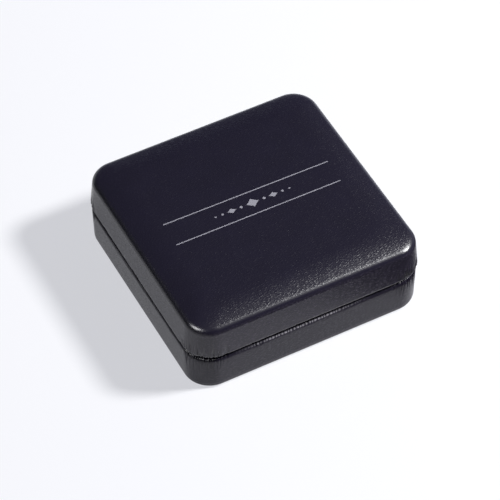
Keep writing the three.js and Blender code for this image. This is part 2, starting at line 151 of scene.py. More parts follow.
@dataclass(frozen=True)
class Leatherette:
    """PVC leatherette: a fabric-backed vinyl sheet, calendered with a fine pebble grain.

    It gives a semi-gloss near-black with a touch of navy, whose pebbles sparkle where a lamp grazes them.
    """

    name: str = "pvc_leatherette_pebble_grain"
    colour: str = "161322"
    dust_colour: str = "1A1728"
    # Painted shade for pebble hollows and gathers, and painted highlight for pebble crests, used on the walls.
    hollow_shade_colour: str = "191622"
    crest_highlight_colour: str = "35303F"
    # Pale colour of the painted glints and painted highlight lines.
    painted_glint_colour: str = "A6A3AA"
    roughness: float = 0.28
    pebble_mm: float = 0.44
    pebble_height_mm: float = 0.026
    dome: tuple[float, float] = (-0.05, 0.58)
    warp: float = 0.22
    grain_turn: float = 30.0
    grain_stretch: float = 2.1
    ripple_mm: float = 5.5
    ripple_height_mm: float = 0.05
    gloss: float = 0.4

    def make(self) -> bpy.types.Material:
        """Builds the material from cells that are drawn out along the grain, bent by noise and domed.

        The attribute grain says how deep the pebbles are at each point; wall how much of the painted pebble shade,
        painted crest highlight and lighter wall colour a point gets; crease how deep it lies in a gather, which paints
        shade into the gather; and rubbed where pale painted glints and painted highlight lines lie.

        Returns:
            The material.
        """
        material, add, place = new_material(self.name)
        turn, stretch = -math.radians(self.grain_turn), 1 / self.grain_stretch
        along = {"Vector": place, "Rotation": (0.0, 0.0, turn), "Scale": (stretch, 1.0, 1.0)}
        drawn = add("ShaderNodeMapping", along, vector_type="POINT").outputs[0]
        warp = add("ShaderNodeTexNoise", {"Vector": drawn, "Scale": 0.9 / self.pebble_mm, "Detail": 2.0})
        bend = {"Fac": self.warp, "Color1": drawn, "Color2": warp.outputs["Color"]}
        bent = add("ShaderNodeMixRGB", bend, blend_type="LINEAR_LIGHT").outputs[0]
        cells = {"Vector": bent, "Scale": 1 / self.pebble_mm, "Randomness": 0.9}
        pebbles = add("ShaderNodeTexVoronoi", cells, feature="DISTANCE_TO_EDGE").outputs["Distance"]
        rise = {"Value": pebbles, "From Min": self.dome[0], "From Max": self.dome[1]}
        domed = add("ShaderNodeMapRange", rise, interpolation_type="SMOOTHSTEP").outputs[0]
        grain = add("ShaderNodeAttribute", attribute_name="grain").outputs["Fac"]
        depth = self.pebble_height_mm * MM
        pebble_bump = add("ShaderNodeBump", {"Height": domed, "Strength": grain, "Distance": depth}).outputs[0]
        waves = {"Vector": place, "Scale": 1 / self.ripple_mm, "Detail": 2.0}
        ripple = add("ShaderNodeTexNoise", waves).outputs["Fac"]
        relief = {"Height": ripple, "Strength": 1.0, "Distance": self.ripple_height_mm * MM}
        bump = add("ShaderNodeBump", {**relief, "Normal": pebble_bump})
        dusty = {"Fac": ripple, "Color1": self.colour, "Color2": self.dust_colour}
        plain = add("ShaderNodeMixRGB", dusty).outputs[0]
        masks = {n: add("ShaderNodeAttribute", attribute_name=n).outputs["Fac"] for n in ("crease", "wall", "rubbed")}
        # Painted shade in the pebble hollows and painted highlight on their crests.
        tones = {"Fac": domed, "Color1": self.hollow_shade_colour, "Color2": self.crest_highlight_colour}
        pebble_shaded = add("ShaderNodeMixRGB", tones).outputs[0]
        # Painted shade: the gathers of the pleats are darkened towards the hollow shade colour.
        crease_shaded = add("ShaderNodeMixRGB", {"Fac": masks["crease"], "Color1": pebble_shaded, "Color2": self.hollow_shade_colour})
        # On the walls the painted pebble shade and highlight replace the plain colour, which paints the walls lighter
        # than the top.
        wall_shaded = add("ShaderNodeMixRGB", {"Fac": masks["wall"], "Color1": plain, "Color2": crease_shaded.outputs[0]})
        # Painted glints and painted highlight lines, in a pale colour.
        modified = {"Fac": masks["rubbed"], "Color1": wall_shaded.outputs[0], "Color2": self.painted_glint_colour}
        shade = add("ShaderNodeMixRGB", modified).outputs[0]
        surface = {"Base Color": shade, "Roughness": self.roughness, "IOR": 1.5, "Normal": bump.outputs[0]}
        finish_material(add, {**surface, "Specular IOR Level": self.gloss})
        return material


@dataclass(frozen=True)
class CoatedPaper:
    """Black glazed paper, wrapped on card: smooth and glossier than the leatherette, with fine creases."""

    colour: str = "0D0C11"
    roughness: float = 0.25
    crease_mm: float = 0.8
    crease_height_mm: float = 0.12

    def make(self) -> bpy.types.Material:
        """Builds the material.

        Returns:
            The material.
        """
        material, add, place = new_material("black_glazed_paper")
        folds = {"Vector": place, "Scale": 1 / self.crease_mm, "Detail": 3.0, "Roughness": 0.7}
        creases = add("ShaderNodeTexNoise", folds).outputs["Fac"]
        relief = {"Height": creases, "Strength": 1.0, "Distance": self.crease_height_mm * MM}
        normal = add("ShaderNodeBump", relief).outputs[0]
        finish_material(add, {"Base Color": self.colour, "Roughness": self.roughness, "Normal": normal})
        return material


@dataclass(frozen=True)
class PlainSheet:
    """A flat sheet stock such as moulded polystyrene, foam or card: an even colour with a fine mottle."""

    name: str
    colour: str
    second_colour: str
    roughness: float
    grain_mm: float
    grain_height_mm: float

    def make(self) -> bpy.types.Material:
        """Builds the material.

        Returns:
            The material.
        """
        material, add, place = new_material(self.name)
        grain = {"Vector": place, "Scale": 1 / self.grain_mm, "Detail": 4.0, "Roughness": 0.6}
        mottle = add("ShaderNodeTexNoise", grain).outputs["Fac"]
        tones = {"Fac": mottle, "Color1": self.colour, "Color2": self.second_colour}
        colour = add("ShaderNodeMixRGB", tones).outputs[0]
        relief = {"Height": mottle, "Strength": 1.0, "Distance": self.grain_height_mm * MM}
        normal = add("ShaderNodeBump", relief).outputs[0]
        finish_material(add, {"Base Color": colour, "Roughness": self.roughness, "Normal": normal})
        return material


@dataclass(frozen=True)
class Satin:
    """Weft-faced satin: long floats of shiny thread, drawn at 0.3 mm, coarser than real, so that they show.

    It gives an off-white with a soft silky gloss and fine lines across the pad.
    """

    colour: str = "EFEBE0"
    shade: str = "E2DCCB"
    thread_mm: float = 0.3
    thread_height_mm: float = 0.012
    slubs_per_mm: float = 0.35

    def make(self) -> bpy.types.Material:
        """Builds the material. A wave of scale 0.314 repeats once in each unit of length.

        Returns:
            The material.
        """
        material, add, place = new_material("weft_satin")
        threads = {"Vector": place, "Scale": 0.314 / self.thread_mm, "Distortion": 0.6}
        weft = add(
            "ShaderNodeTexWave",
            {**threads, "Detail": 1.0, "Detail Scale": 2.0},
            wave_type="BANDS",
            bands_direction="Y",
        ).outputs["Fac"]
        uneven = {"Vector": place, "Scale": self.slubs_per_mm, "Detail": 3.0, "Roughness": 0.6}
        slubs = add("ShaderNodeTexNoise", uneven).outputs["Fac"]
        tones = {"Fac": slubs, "Color1": self.colour, "Color2": self.shade}
        colour = add("ShaderNodeMixRGB", tones).outputs[0]
        relief = {"Height": weft, "Strength": 1.0, "Distance": self.thread_height_mm * MM}
        surface = {"Base Color": colour, "Roughness": 0.38, "Normal": add("ShaderNodeBump", relief).outputs[0]}
        finish_material(add, {**surface, "Anisotropic": 0.6, "Sheen Weight": 0.25, "Sheen Roughness": 0.3})
        return material


@dataclass(frozen=True)
class Velour:
    """Short-pile velour flocked on foam: its pile scatters light back at a glance, in slightly brushed swirls.

    It gives a deep black whose raised edges glow softly. The pile is drawn at 0.28 mm, coarser than real.
    """

    colour: str = "0E0D13"
    brushed: str = "1B1A22"
    sheen: str = "8A88A0"
    pile_mm: float = 0.28
    pile_height_mm: float = 0.12
    swirl_mm: float = 9.0

    def make(self) -> bpy.types.Material:
        """Builds the material.

        Returns:
            The material.
        """
        material, add, place = new_material("short_pile_velour")
        pile = add("ShaderNodeTexNoise", {"Vector": place, "Scale": 1 / self.pile_mm, "Detail": 3.0}).outputs["Fac"]
        strokes = {"Vector": place, "Scale": 1 / self.swirl_mm, "Detail": 2.0, "Distortion": 1.2}
        swirl = add("ShaderNodeTexNoise", strokes).outputs["Fac"]
        steps = {"Value": swirl, "From Min": 0.35, "From Max": 0.65}
        lay = add("ShaderNodeMapRange", steps, interpolation_type="SMOOTHSTEP").outputs[0]
        colour = add("ShaderNodeMixRGB", {"Fac": lay, "Color1": self.colour, "Color2": self.brushed}).outputs[0]
        relief = {"Height": pile, "Strength": 1.0, "Distance": self.pile_height_mm * MM}
        surface = {"Base Color": colour, "Roughness": 0.95, "Normal": add("ShaderNodeBump", relief).outputs[0]}
        sheen = {"Sheen Weight": 0.6, "Sheen Roughness": 0.45, "Sheen Tint": self.sheen}
        finish_material(add, {**surface, **sheen, "Specular IOR Level": 0.2})
        return material


@dataclass(frozen=True)
class PlatedSteel:
    """Rolled and stamped metal strip: fine rolling lines along the barrel and a soft metallic gloss.

    The lines are drawn at 0.12 mm, coarser than real.
    """

    name: str
    colour: str
    roughness: float = 0.22
    line_mm: float = 0.12
    line_height_mm: float = 0.0012
    drawn_out: float = 0.08
    wear: tuple[float, float] = (0.8, 1.35)

    def make(self) -> bpy.types.Material:
        """Builds the material from noise drawn out along x, which also varies the roughness by the wear.

        Returns:
            The material.
        """
        material, add, place = new_material(self.name)
        drawn = add("ShaderNodeMapping", {"Vector": place, "Scale": (self.drawn_out, 1.0, 1.0)}).outputs[0]
        strokes = {"Vector": drawn, "Scale": 1 / self.line_mm, "Detail": 2.0}
        lines = add("ShaderNodeTexNoise", strokes).outputs["Fac"]
        wear = {"To Min": self.roughness * self.wear[0], "To Max": self.roughness * self.wear[1]}
        modified = add("ShaderNodeMapRange", {"Value": lines, "From Min": 0.3, "From Max": 0.7, **wear}).outputs[0]
        relief = {"Height": lines, "Strength": 1.0, "Distance": self.line_height_mm * MM}
        normal = add("ShaderNodeBump", relief).outputs[0]
        finish_material(add, {"Base Color": self.colour, "Metallic": 1.0, "Roughness": modified, "Normal": normal})
        return material


def arc(centre: tuple[float, float], radius: float, start: float, end: float, count: int) -> Grid:
    """Points of an arc in a wall profile.

    The formula is centre inset - radius cos(angle) and centre height + radius sin(angle), so an angle of
    0 degrees faces outwards and 90 faces up.

    Args:
        centre: inset and height of the centre.
        radius: the arc's radius.
        start: first angle in degrees.
        end: last angle in degrees.
        count: how many points.

    Returns:
        An array of [inset, height] rows.
    """
    angle = np.radians(np.linspace(start, end, count))
    return np.stack([centre[0] - radius * np.cos(angle), centre[1] + radius * np.sin(angle)], axis=1)


def line(start: tuple[float, float], end: tuple[float, float], count: int) -> Grid:
    """Evenly spaced points of a straight line, without its last point."""
    share = np.linspace(0, 1, count, endpoint=False)[:, None]
    return np.array(start) * (1 - share) + np.array(end) * share


def profile_normals(profile: Grid, side: int) -> Grid:
    """Outward unit normals of a profile.

    Each normal is the direction of travel, taken between the neighbours of a point, turned a quarter
    turn to the left for side 1 and to the right for side -1.

    Args:
        profile: rows of [inset, height].
        side: which side is outside.

    Returns:
        Rows of [inset part, height part].
    """
    run = np.gradient(profile, axis=0)
    run /= np.linalg.norm(run, axis=1)[:, None]
    return side * np.stack([-run[:, 1], run[:, 0]], axis=1)


def smooth_step(value: Grid) -> Grid:
    """The cubic 3t^2 - 2t^3 of a value held between 0 and 1."""
    t = np.clip(value, 0, 1)
    return t * t * (3 - 2 * t)


@dataclass
class CasePlan:
    """The plan outline of the case, a rectangle with rounded corners, cut into columns."""

    half_x: float
    half_y: float
    corner_radius: float = 6.8 * MM
    inner_radius: float = 4.0 * MM
    blend: float = 0.3 * MM
    corner_columns: int = 170
    side_columns: tuple[int, int, int, int] = (60, 50, 150, 50)
    sign: Grid = field(init=False)
    facing: Grid = field(init=False)
    distance: Grid = field(init=False)
    corner: Grid = field(init=False)

    def __post_init__(self) -> None:
        """Works out, for each column, its corner signs, its outward direction and its place along the rim.

        The columns run anticlockwise from the right-hand side: a corner, then the side after it.
        """
        signs, angles, steps, corners = [], [], [], []
        order = [(1, 1), (-1, 1), (-1, -1), (1, -1)]
        for i, count in enumerate(self.side_columns):
            here, there = np.array(order[i], float), np.array(order[(i + 1) % 4], float)
            turn = np.linspace(0, 1, self.corner_columns, endpoint=False)
            share = np.linspace(0, 1, count, endpoint=False)
            signs += [np.tile(here, (self.corner_columns, 1)), here + (there - here) * share[:, None]]
            angles += [(i + turn) * math.pi / 2, np.full(count, (i + 1) * math.pi / 2)]
            span = 2 * ((self.half_x if i % 2 == 0 else self.half_y) - self.corner_radius)
            bend = self.corner_radius * math.pi / 2
            steps += [np.full(self.corner_columns, bend / self.corner_columns), np.full(count, span / count)]
            corners += [np.full(self.corner_columns, i), np.full(count, -1)]
        angle = np.concatenate(angles)
        self.sign = np.concatenate(signs)
        self.facing = np.stack([np.cos(angle), np.sin(angle)], axis=1)
        self.distance = np.concatenate([[0], np.cumsum(np.concatenate(steps))[:-1]])
        self.corner = np.concatenate(corners)

    @property
    def columns(self) -> int:
        """How many columns go round the case."""
        return len(self.distance)

    @property
    def perimeter(self) -> float:
        """Length of the outermost outline."""
        straight = 4 * (self.half_x + self.half_y - 2 * self.corner_radius)
        return straight + 2 * math.pi * self.corner_radius

    def outline(self, inset: Grid) -> Grid:
        """Places of the columns at an inset.

        The corner radius is the outer one less the inset, eased into a least radius so that the inner
        outlines stay round. Each point is the corner sign times what is left of the half size after the
        inset and the radius, plus the radius along the outward direction.

        Args:
            inset: inset of every grid point, rows by columns.

        Returns:
            x and y of every grid point.
        """
        tight = self.corner_radius - inset
        radius = (tight + self.inner_radius + np.hypot(tight - self.inner_radius, self.blend)) / 2
        radius = np.minimum(radius, np.minimum(self.half_x, self.half_y) - inset)
        half = np.stack([self.half_x - inset - radius, self.half_y - inset - radius], axis=-1)
        return self.sign * half + radius[..., None] * self.facing

    def spine(self, axis: int) -> Grid:
        """x (axis 0) or y (axis 1) of each column before the corner radius is added."""
        return self.sign[:, axis] * ((self.half_x, self.half_y)[axis] - self.corner_radius)

    def bay(self, half_length: float) -> Grid:
        """Which columns lie on the straight back within a half length of the middle, at the hinge."""
        return (self.facing[:, 1] > 0.999) & (np.abs(self.spine(0)) < half_length)

    def sweep(self, profile: Grid) -> Grid:
        """Carries a profile round the case.

        Args:
            profile: rows of [inset, z].

        Returns:
            Rows by columns of x, y, z.
        """
        shape = (len(profile), self.columns)
        inset, z = (np.broadcast_to(profile[:, i][:, None], shape) for i in (0, 1))
        return np.concatenate([self.outline(inset), z[..., None]], axis=-1)


def mesh_object(name: str, points: Grid, faces: list[Grid], sharp_degrees: float = 40.0) -> bpy.types.Object:
    """Puts points and faces into a new smooth-shaded object at the origin.

    Args:
        name: the piece's name.
        points: rows of x, y, z in metres.
        faces: arrays of vertex numbers, one array for each number of corners.
        sharp_degrees: edges that turn by more than this stay sharp.

    Returns:
        The new object, linked to the scene.
    """
    mesh = bpy.data.meshes.new(name)
    sizes = np.concatenate([np.full(len(f), f.shape[1]) for f in faces]).astype(np.int32)
    loops = np.concatenate([f.ravel() for f in faces]).astype(np.int32)
    starts = np.concatenate([[0], np.cumsum(sizes)[:-1]]).astype(np.int32)
    mesh.vertices.add(len(points))
    mesh.vertices.foreach_set("co", points.astype(np.float32).ravel())
    mesh.loops.add(len(loops))
    mesh.loops.foreach_set("vertex_index", loops)
    mesh.polygons.add(len(sizes))
    mesh.polygons.foreach_set("loop_start", starts)
    mesh.polygons.foreach_set("use_smooth", np.ones(len(sizes), bool))
    mesh.update(calc_edges=True)
    mesh.validate()
    mesh.set_sharp_from_angle(angle=math.radians(sharp_degrees))
    piece = bpy.data.objects.new(name, mesh)
    bpy.context.scene.collection.objects.link(piece)
    return piece


def grid_faces(rows: int, columns: int) -> Grid:
    """Four-cornered faces of a grid that closes round its columns.

    Args:
        rows: number of rows.
        columns: number of columns.

    Returns:
        Rows of four vertex numbers.
    """
    low = np.arange(rows - 1)[:, None] * columns
    col = np.arange(columns)[None, :]
    after, high = (col + 1) % columns, low + columns
    return np.stack([low + col, low + after, high + after, high + col], axis=-1).reshape(-1, 4)


def closed_grid(places: Grid, flip: bool = False) -> Shell:
    """A closed shell from a grid that runs round its columns, with each end drawn to its middle.

    Args:
        places: rows by columns of x, y, z.
        flip: turns the faces over.

    Returns:
        Points, and arrays of faces.
    """
    rows, columns = places.shape[:2]
    points = np.concatenate([places.reshape(-1, 3), np.stack([places[0].mean(axis=0), places[-1].mean(axis=0)])])
    col = np.arange(columns)
    after = (col + 1) % columns
    start = np.stack([np.full(columns, rows * columns), after, col], axis=1)
    end = np.stack([np.full(columns, rows * columns + 1), col, after], axis=1)
    end[:, 1:] += (rows - 1) * columns
    faces = [grid_faces(rows, columns), np.concatenate([start, end])]
    return points, [group[:, ::-1] if flip else group for group in faces]


def weld(piece: bpy.types.Object, gap: float = 0.0004 * MM) -> None:
    """Joins points that fall together, which takes away the faces without area between them.

    Args:
        piece: the piece, with its attributes stored.
        gap: points nearer than this are joined.
    """
    work = bmesh.new()
    work.from_mesh(piece.data)
    bmesh.ops.remove_doubles(work, verts=work.verts, dist=gap)
    bmesh.ops.dissolve_degenerate(work, edges=work.edges, dist=gap)
    work.to_mesh(piece.data)
    work.free()


def store_attribute(piece: bpy.types.Object, name: str, values: Grid) -> None:
    """Keeps one number for each vertex of a piece, for its material to read."""
    data = piece.data.attributes.new(name, "FLOAT", "POINT")
    data.data.foreach_set("value", values.astype(np.float32).ravel())


@dataclass
class Pleats:
    """The small gathers of the covering at the corners, where it was pulled round and glued."""

    spacing: float = 0.55 * MM
    depth: float = 0.32 * MM
    width: float = 0.17 * MM
    reach: float = 5.6 * MM
    overhang: float = 1.6 * MM
    seed: int = 5

    def push(self, plan: CasePlan, climb: Grid) -> Grid:
        """How far each grid point is pushed in by the gathers.

        Each gather is a groove: depth times exp(-(sideways distance / width)^2), fading with the height
        above the rim as a smooth step of 1 - height / reach, with its own depth, width, reach and lean.

        Args:
            plan: the columns of the case.
            climb: distance of each row from the rim, measured up the wall.

        Returns:
            Push in metres, rows by columns.
        """
        rng = np.random.default_rng(self.seed)
        bend = plan.corner_radius * math.pi / 2
        pushed = np.zeros((len(climb), plan.columns))
        for corner in range(4):
            start = plan.distance[np.argmax(plan.corner == corner)]
            count = int((bend + 2 * self.overhang) / self.spacing)
            middles = start - self.overhang + self.spacing * (np.arange(count) + rng.uniform(0.2, 0.8, count))
            for middle in middles:
                depth, width, reach, lean = rng.uniform([0.3, 0.7, 0.45, -0.12], [1.0, 1.5, 1.0, 0.12])
                away = plan.distance[None, :] - middle - lean * climb[:, None]
                away = (away + plan.perimeter / 2) % plan.perimeter - plan.perimeter / 2
                groove = np.exp(-((away / (self.width * width)) ** 2))
                fade = smooth_step(1.25 * (1 - climb[:, None] / (self.reach * reach)))
                pushed += self.depth * depth * groove * fade
        return pushed


@dataclass
class Covering:
    """The leatherette of one half of the case: top or bottom, walls, wrapped rim and turned-in edge."""

    half: Half
    plan: CasePlan
    rim_z: float
    flat_z: float
    edge_inset: float
    rim_inset: float
    edge_radius: float
    crown_drop: float = 0.0
    crown_reach: float = 9.0 * MM
    rim_radius: float = 1.0 * MM
    wrap: float = 2.3 * MM
    turn_in: float = 3.6 * MM
    sheet: float = 0.55 * MM
    notch_half_length: float = 13.2 * MM
    notch_depth: float = 1.2 * MM
    notch_skin: float = 0.2 * MM
    front_lift: float = 0.05 * MM
    side_lift: float = 0.0
    lift_middle: float = -4.0 * MM
    lift_half: float = 30.0 * MM
    lift_reach: float = 3.2 * MM
    rear_start: float = -24.0 * MM
    rear_span: float = 40.0 * MM
    wrinkle_waves: int = 9
    wrinkle_depth: float = 0.04 * MM
    # Painted highlight: a thin pale line along the fold.
    painted_highlight_line: float = 0.3 * MM
    painted_highlight_share: float = 0.0
    painted_highlight_width: float = 0.13 * MM
    # Painted glints: pale dashes along the front of the rim.
    painted_dash_share: float = 0.0
    painted_dash_line: float = 0.35 * MM
    painted_dash_width: float = 0.16 * MM
    painted_dash_spacing: float = 0.62 * MM
    painted_dash_middle: float = -3.0 * MM
    painted_dash_reach: float = 12.0 * MM
    pleats: Pleats = field(default_factory=Pleats)

    def outer_profile(self) -> Grid:
        """Profile from the middle of the flat face, over the edge and down the wall, to the turned-in edge.

        Heights here are counted from the rim towards the flat face, so one profile serves both halves.
        The crown falls with the square of the share of its reach; the edge and rim are arcs.

        Returns:
            Rows of [inset, height].
        """
        tall = abs(self.flat_z - self.rim_z)
        centre_inset = self.edge_inset + self.edge_radius
        slope = math.atan2(2 * self.crown_drop, self.crown_reach - centre_inset)
        centre_h = tall - self.crown_drop - self.edge_radius * math.cos(slope)
        edge = arc((centre_inset, centre_h), self.edge_radius, 90 - math.degrees(slope), 0, 15)
        start_inset, start_h = edge[0]
        middle = min(self.plan.half_x, self.plan.half_y) - 0.5 * MM
        flat = line((middle, tall), (self.crown_reach, tall), 4)
        share = np.linspace(1, 0, 14, endpoint=False)
        crown_inset = start_inset + (self.crown_reach - start_inset) * share
        crown_h = start_h + (tall - start_h) * (1 - (1 - share) ** 2)
        crown = np.stack([crown_inset, crown_h], axis=1)
        wall = line((self.edge_inset, centre_h), (self.rim_inset, self.rim_radius), 26)[1:]
        rim_out = arc((self.rim_inset + self.rim_radius, self.rim_radius), self.rim_radius, 0, -90, 9)
        inner = self.rim_inset + self.wrap
        rim_in = arc((inner - self.rim_radius, self.rim_radius), self.rim_radius, -90, -180, 7)
        end = np.array([[inner, self.turn_in * share] for share in (0.45, 0.7, 1.0)])
        return np.concatenate([flat, crown, edge, wall, rim_out, rim_in, end])

    def rim_lift(self, climb: Grid) -> Grid:
        """How much the rim stands back from the parting, where the covering draws it away.

        The lift is a bulge left of the middle of the front, which fades to the corners as a squared
        cosine, or the left side's own lift, which grows towards the hinge as a smooth step. It fades up
        the wall as a smooth step.

        Args:
            climb: distance of each row from the rim.

        Returns:
            Lift in metres, rows by columns.
        """
        plan = self.plan
        front = smooth_step(-plan.facing[:, 1])
        along = np.clip((plan.spine(0) - self.lift_middle) / self.lift_half, -1, 1)
        bulge = self.front_lift * front * (0.5 + 0.5 * np.cos(along * math.pi / 2) ** 2)
        rearward = 0.3 + 0.7 * smooth_step((plan.spine(1) - self.rear_start) / self.rear_span)
        left = self.side_lift * smooth_step(-plan.facing[:, 0]) * rearward
        fade = smooth_step(1 - climb / self.lift_reach)
        return fade[:, None] * np.maximum(bulge, left)[None, :]

    def wrinkles(self, climb: Grid) -> Grid:
        """Small wrinkles of the covering where it is drawn over the rim.

        A sum of cosines with seeded lengths of 0.5 to 2.5 mm along the rim, each with its own lean up the
        wall, squared to sharpen its crests, and faded up the wall as a smooth step.

        Args:
            climb: distance of each row from the rim.

        Returns:
            Push inwards in metres, rows by columns.
        """
        rng = np.random.default_rng(self.pleats.seed + 100)
        total = np.zeros((len(climb), self.plan.columns))
        for _ in range(self.wrinkle_waves):
            turns = int(self.plan.perimeter / (rng.uniform(0.5, 2.5) * MM))
            phase, lean = rng.uniform(0, 2 * math.pi), rng.uniform(-1.2, 1.2)
            along = self.plan.distance[None, :] + lean * climb[:, None]
            total += np.cos(2 * math.pi * turns * along / self.plan.perimeter + phase)
        total = (total / math.sqrt(self.wrinkle_waves)) ** 2
        fade = smooth_step(1.2 * (1 - climb[:, None] / (2.2 * MM)))
        return self.wrinkle_depth * total * fade

    def painted_glint_marks(self, climb: Grid) -> Grid:
        """Painted pale glints and highlight: a row of glint dashes along the front, and a thin line all round.

        The painted highlight line is a bell of the distance from the fold. A dash is a smooth step of the cosine of
        the distance along the rim over the dash spacing, times a bell of the distance from the dash line,
        times a window along the front.

        Args:
            climb: distance of each row from the rim.

        Returns:
            Shares from 0 to 1, rows by columns.
        """
        plan = self.plan
        x = plan.spine(0) + plan.facing[:, 0] * plan.corner_radius
        turns = int(plan.perimeter / self.painted_dash_spacing)
        phase = 2 * math.pi * turns * plan.distance / plan.perimeter
        dashes = smooth_step(0.5 + 0.9 * np.cos(phase + 1.3 * np.sin(0.21 * phase)))
        front = smooth_step(-1.6 * plan.facing[:, 1])
        window = smooth_step(1.5 - np.abs(x - self.painted_dash_middle) / self.painted_dash_reach)
        bell = np.exp(-(((climb - self.painted_dash_line) / self.painted_dash_width) ** 2))
        # fold holds the painted highlight line along the fold.
        fold = self.painted_highlight_share * np.exp(-(((climb - self.painted_highlight_line) / self.painted_highlight_width) ** 2))
        return np.maximum(self.painted_dash_share * bell[:, None] * (dashes * front * window)[None, :], fold[:, None])

    def make(self, name: str, node: str, body: Body, material: bpy.types.Material) -> bpy.types.Object:
        """Builds the covering, cuts its rim back at the hinge, dresses it and hands it to its body.

        The skin is the outer profile and the same profile moved in by the sheet's thickness, and the gathers
        and wrinkles push the wall in along its normals. The grain is deepest on the wall, shallower on the
        flat, and drawn nearly smooth over the rounded edge, as a half sine of the way across that edge.
        The wall's painted pebble shade and painted crest highlight fade as a smooth step of the same way. The
        painted shade in a crease is the push over the pleats' depth, times 2.4.

        Args:
            name: the piece's name.
            node: the CAD node that it stands for.
            body: the body that it moves with.
            material: its finish.

        Returns:
            The new piece.
        """
        outer = self.outer_profile()
        normals = profile_normals(outer, -1)
        thin = np.unique(np.concatenate([np.arange(0, len(outer), 4), [len(outer) - 1]]))
        inner = (outer - self.sheet * normals)[thin][::-1]
        profile = np.concatenate([outer, inner])
        push = np.concatenate([normals, -normals[thin][::-1]])
        is_outer = np.arange(len(profile)) < len(outer)
        climb = np.where(is_outer, profile[:, 1], 1.0)
        wall = is_outer & (profile[:, 0] < self.edge_inset + 0.2 * self.edge_radius + self.rim_radius)
        gathers = (self.pleats.push(self.plan, climb) + self.wrinkles(climb)) * wall[:, None]
        inset = profile[:, 0][:, None] - push[:, 0][:, None] * gathers
        height = profile[:, 1][:, None] - push[:, 1][:, None] * gathers + self.rim_lift(climb)
        inset, height = self.cut_for_hinge(inset, height, is_outer)
        xy = self.plan.outline(inset)
        z = self.rim_z - self.half.value * height
        places = np.concatenate([xy, z[..., None]], axis=-1)
        piece = mesh_object(name, *closed_grid(places, flip=self.half is Half.LID))
        smooth_wall = np.clip((profile[:, 0] - self.edge_inset) / self.edge_radius, 0, 1)
        on_edge = np.sin(math.pi * np.clip(1.25 * smooth_wall, 0, 1)) * is_outer
        grain = np.where(is_outer, 1.25 - 0.25 * smooth_wall - 0.85 * on_edge, 0.3)
        # Share of painted pebble shade and painted crest highlight: full on the wall, none on the top.
        wall_paint_share = np.where(is_outer, 1 - smooth_step(3.2 * smooth_wall), 0.0)
        fields = {
            "grain": np.broadcast_to(grain[:, None], gathers.shape),
            "wall": np.broadcast_to(wall_paint_share[:, None], gathers.shape),
            # crease: how much painted shade darkens each point of a gather.
            "crease": np.clip(2.4 * gathers / self.pleats.depth, 0, 1) * is_outer[:, None],
            # Painted glint dashes and painted highlight lines.
            "rubbed": self.painted_glint_marks(climb) * is_outer[:, None],
        }
        for attribute, values in fields.items():
            middles = [float(attribute == "grain"), 0.0]
            store_attribute(piece, attribute, np.concatenate([values.ravel(), middles]))
        weld(piece)
        piece.data.materials.append(material)
        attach(piece, body.value)
        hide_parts(node)
        return piece

    def cut_for_hinge(self, inset: Grid, height: Grid, is_outer: Grid) -> tuple[Grid, Grid]:
        """Draws the rim back to a flat notch where the hinge barrel passes.

        In the columns of the notch every height is at least the notch depth, and every inset at most
        the wall's, so that the rim becomes a flat edge just clear of the barrel. The inner skin stays
        behind the outer one by the notch skin.

        Args:
            inset: inset of every grid point.
            height: height above the rim of every grid point.
            is_outer: which rows belong to the outer skin.

        Returns:
            The new insets and heights.
        """
        behind = np.where(is_outer, 0.0, self.notch_skin)[:, None]
        notch = self.plan.bay(self.notch_half_length)
        limit = self.rim_inset + self.wrap - self.sheet - 0.15 * MM
        reach = np.where(notch[None, :] & (height < self.turn_in * 1.05), np.minimum(inset, limit - behind), inset)
        cut = np.where(notch[None, :], np.maximum(height, self.notch_depth + behind), height)
        return reach, cut


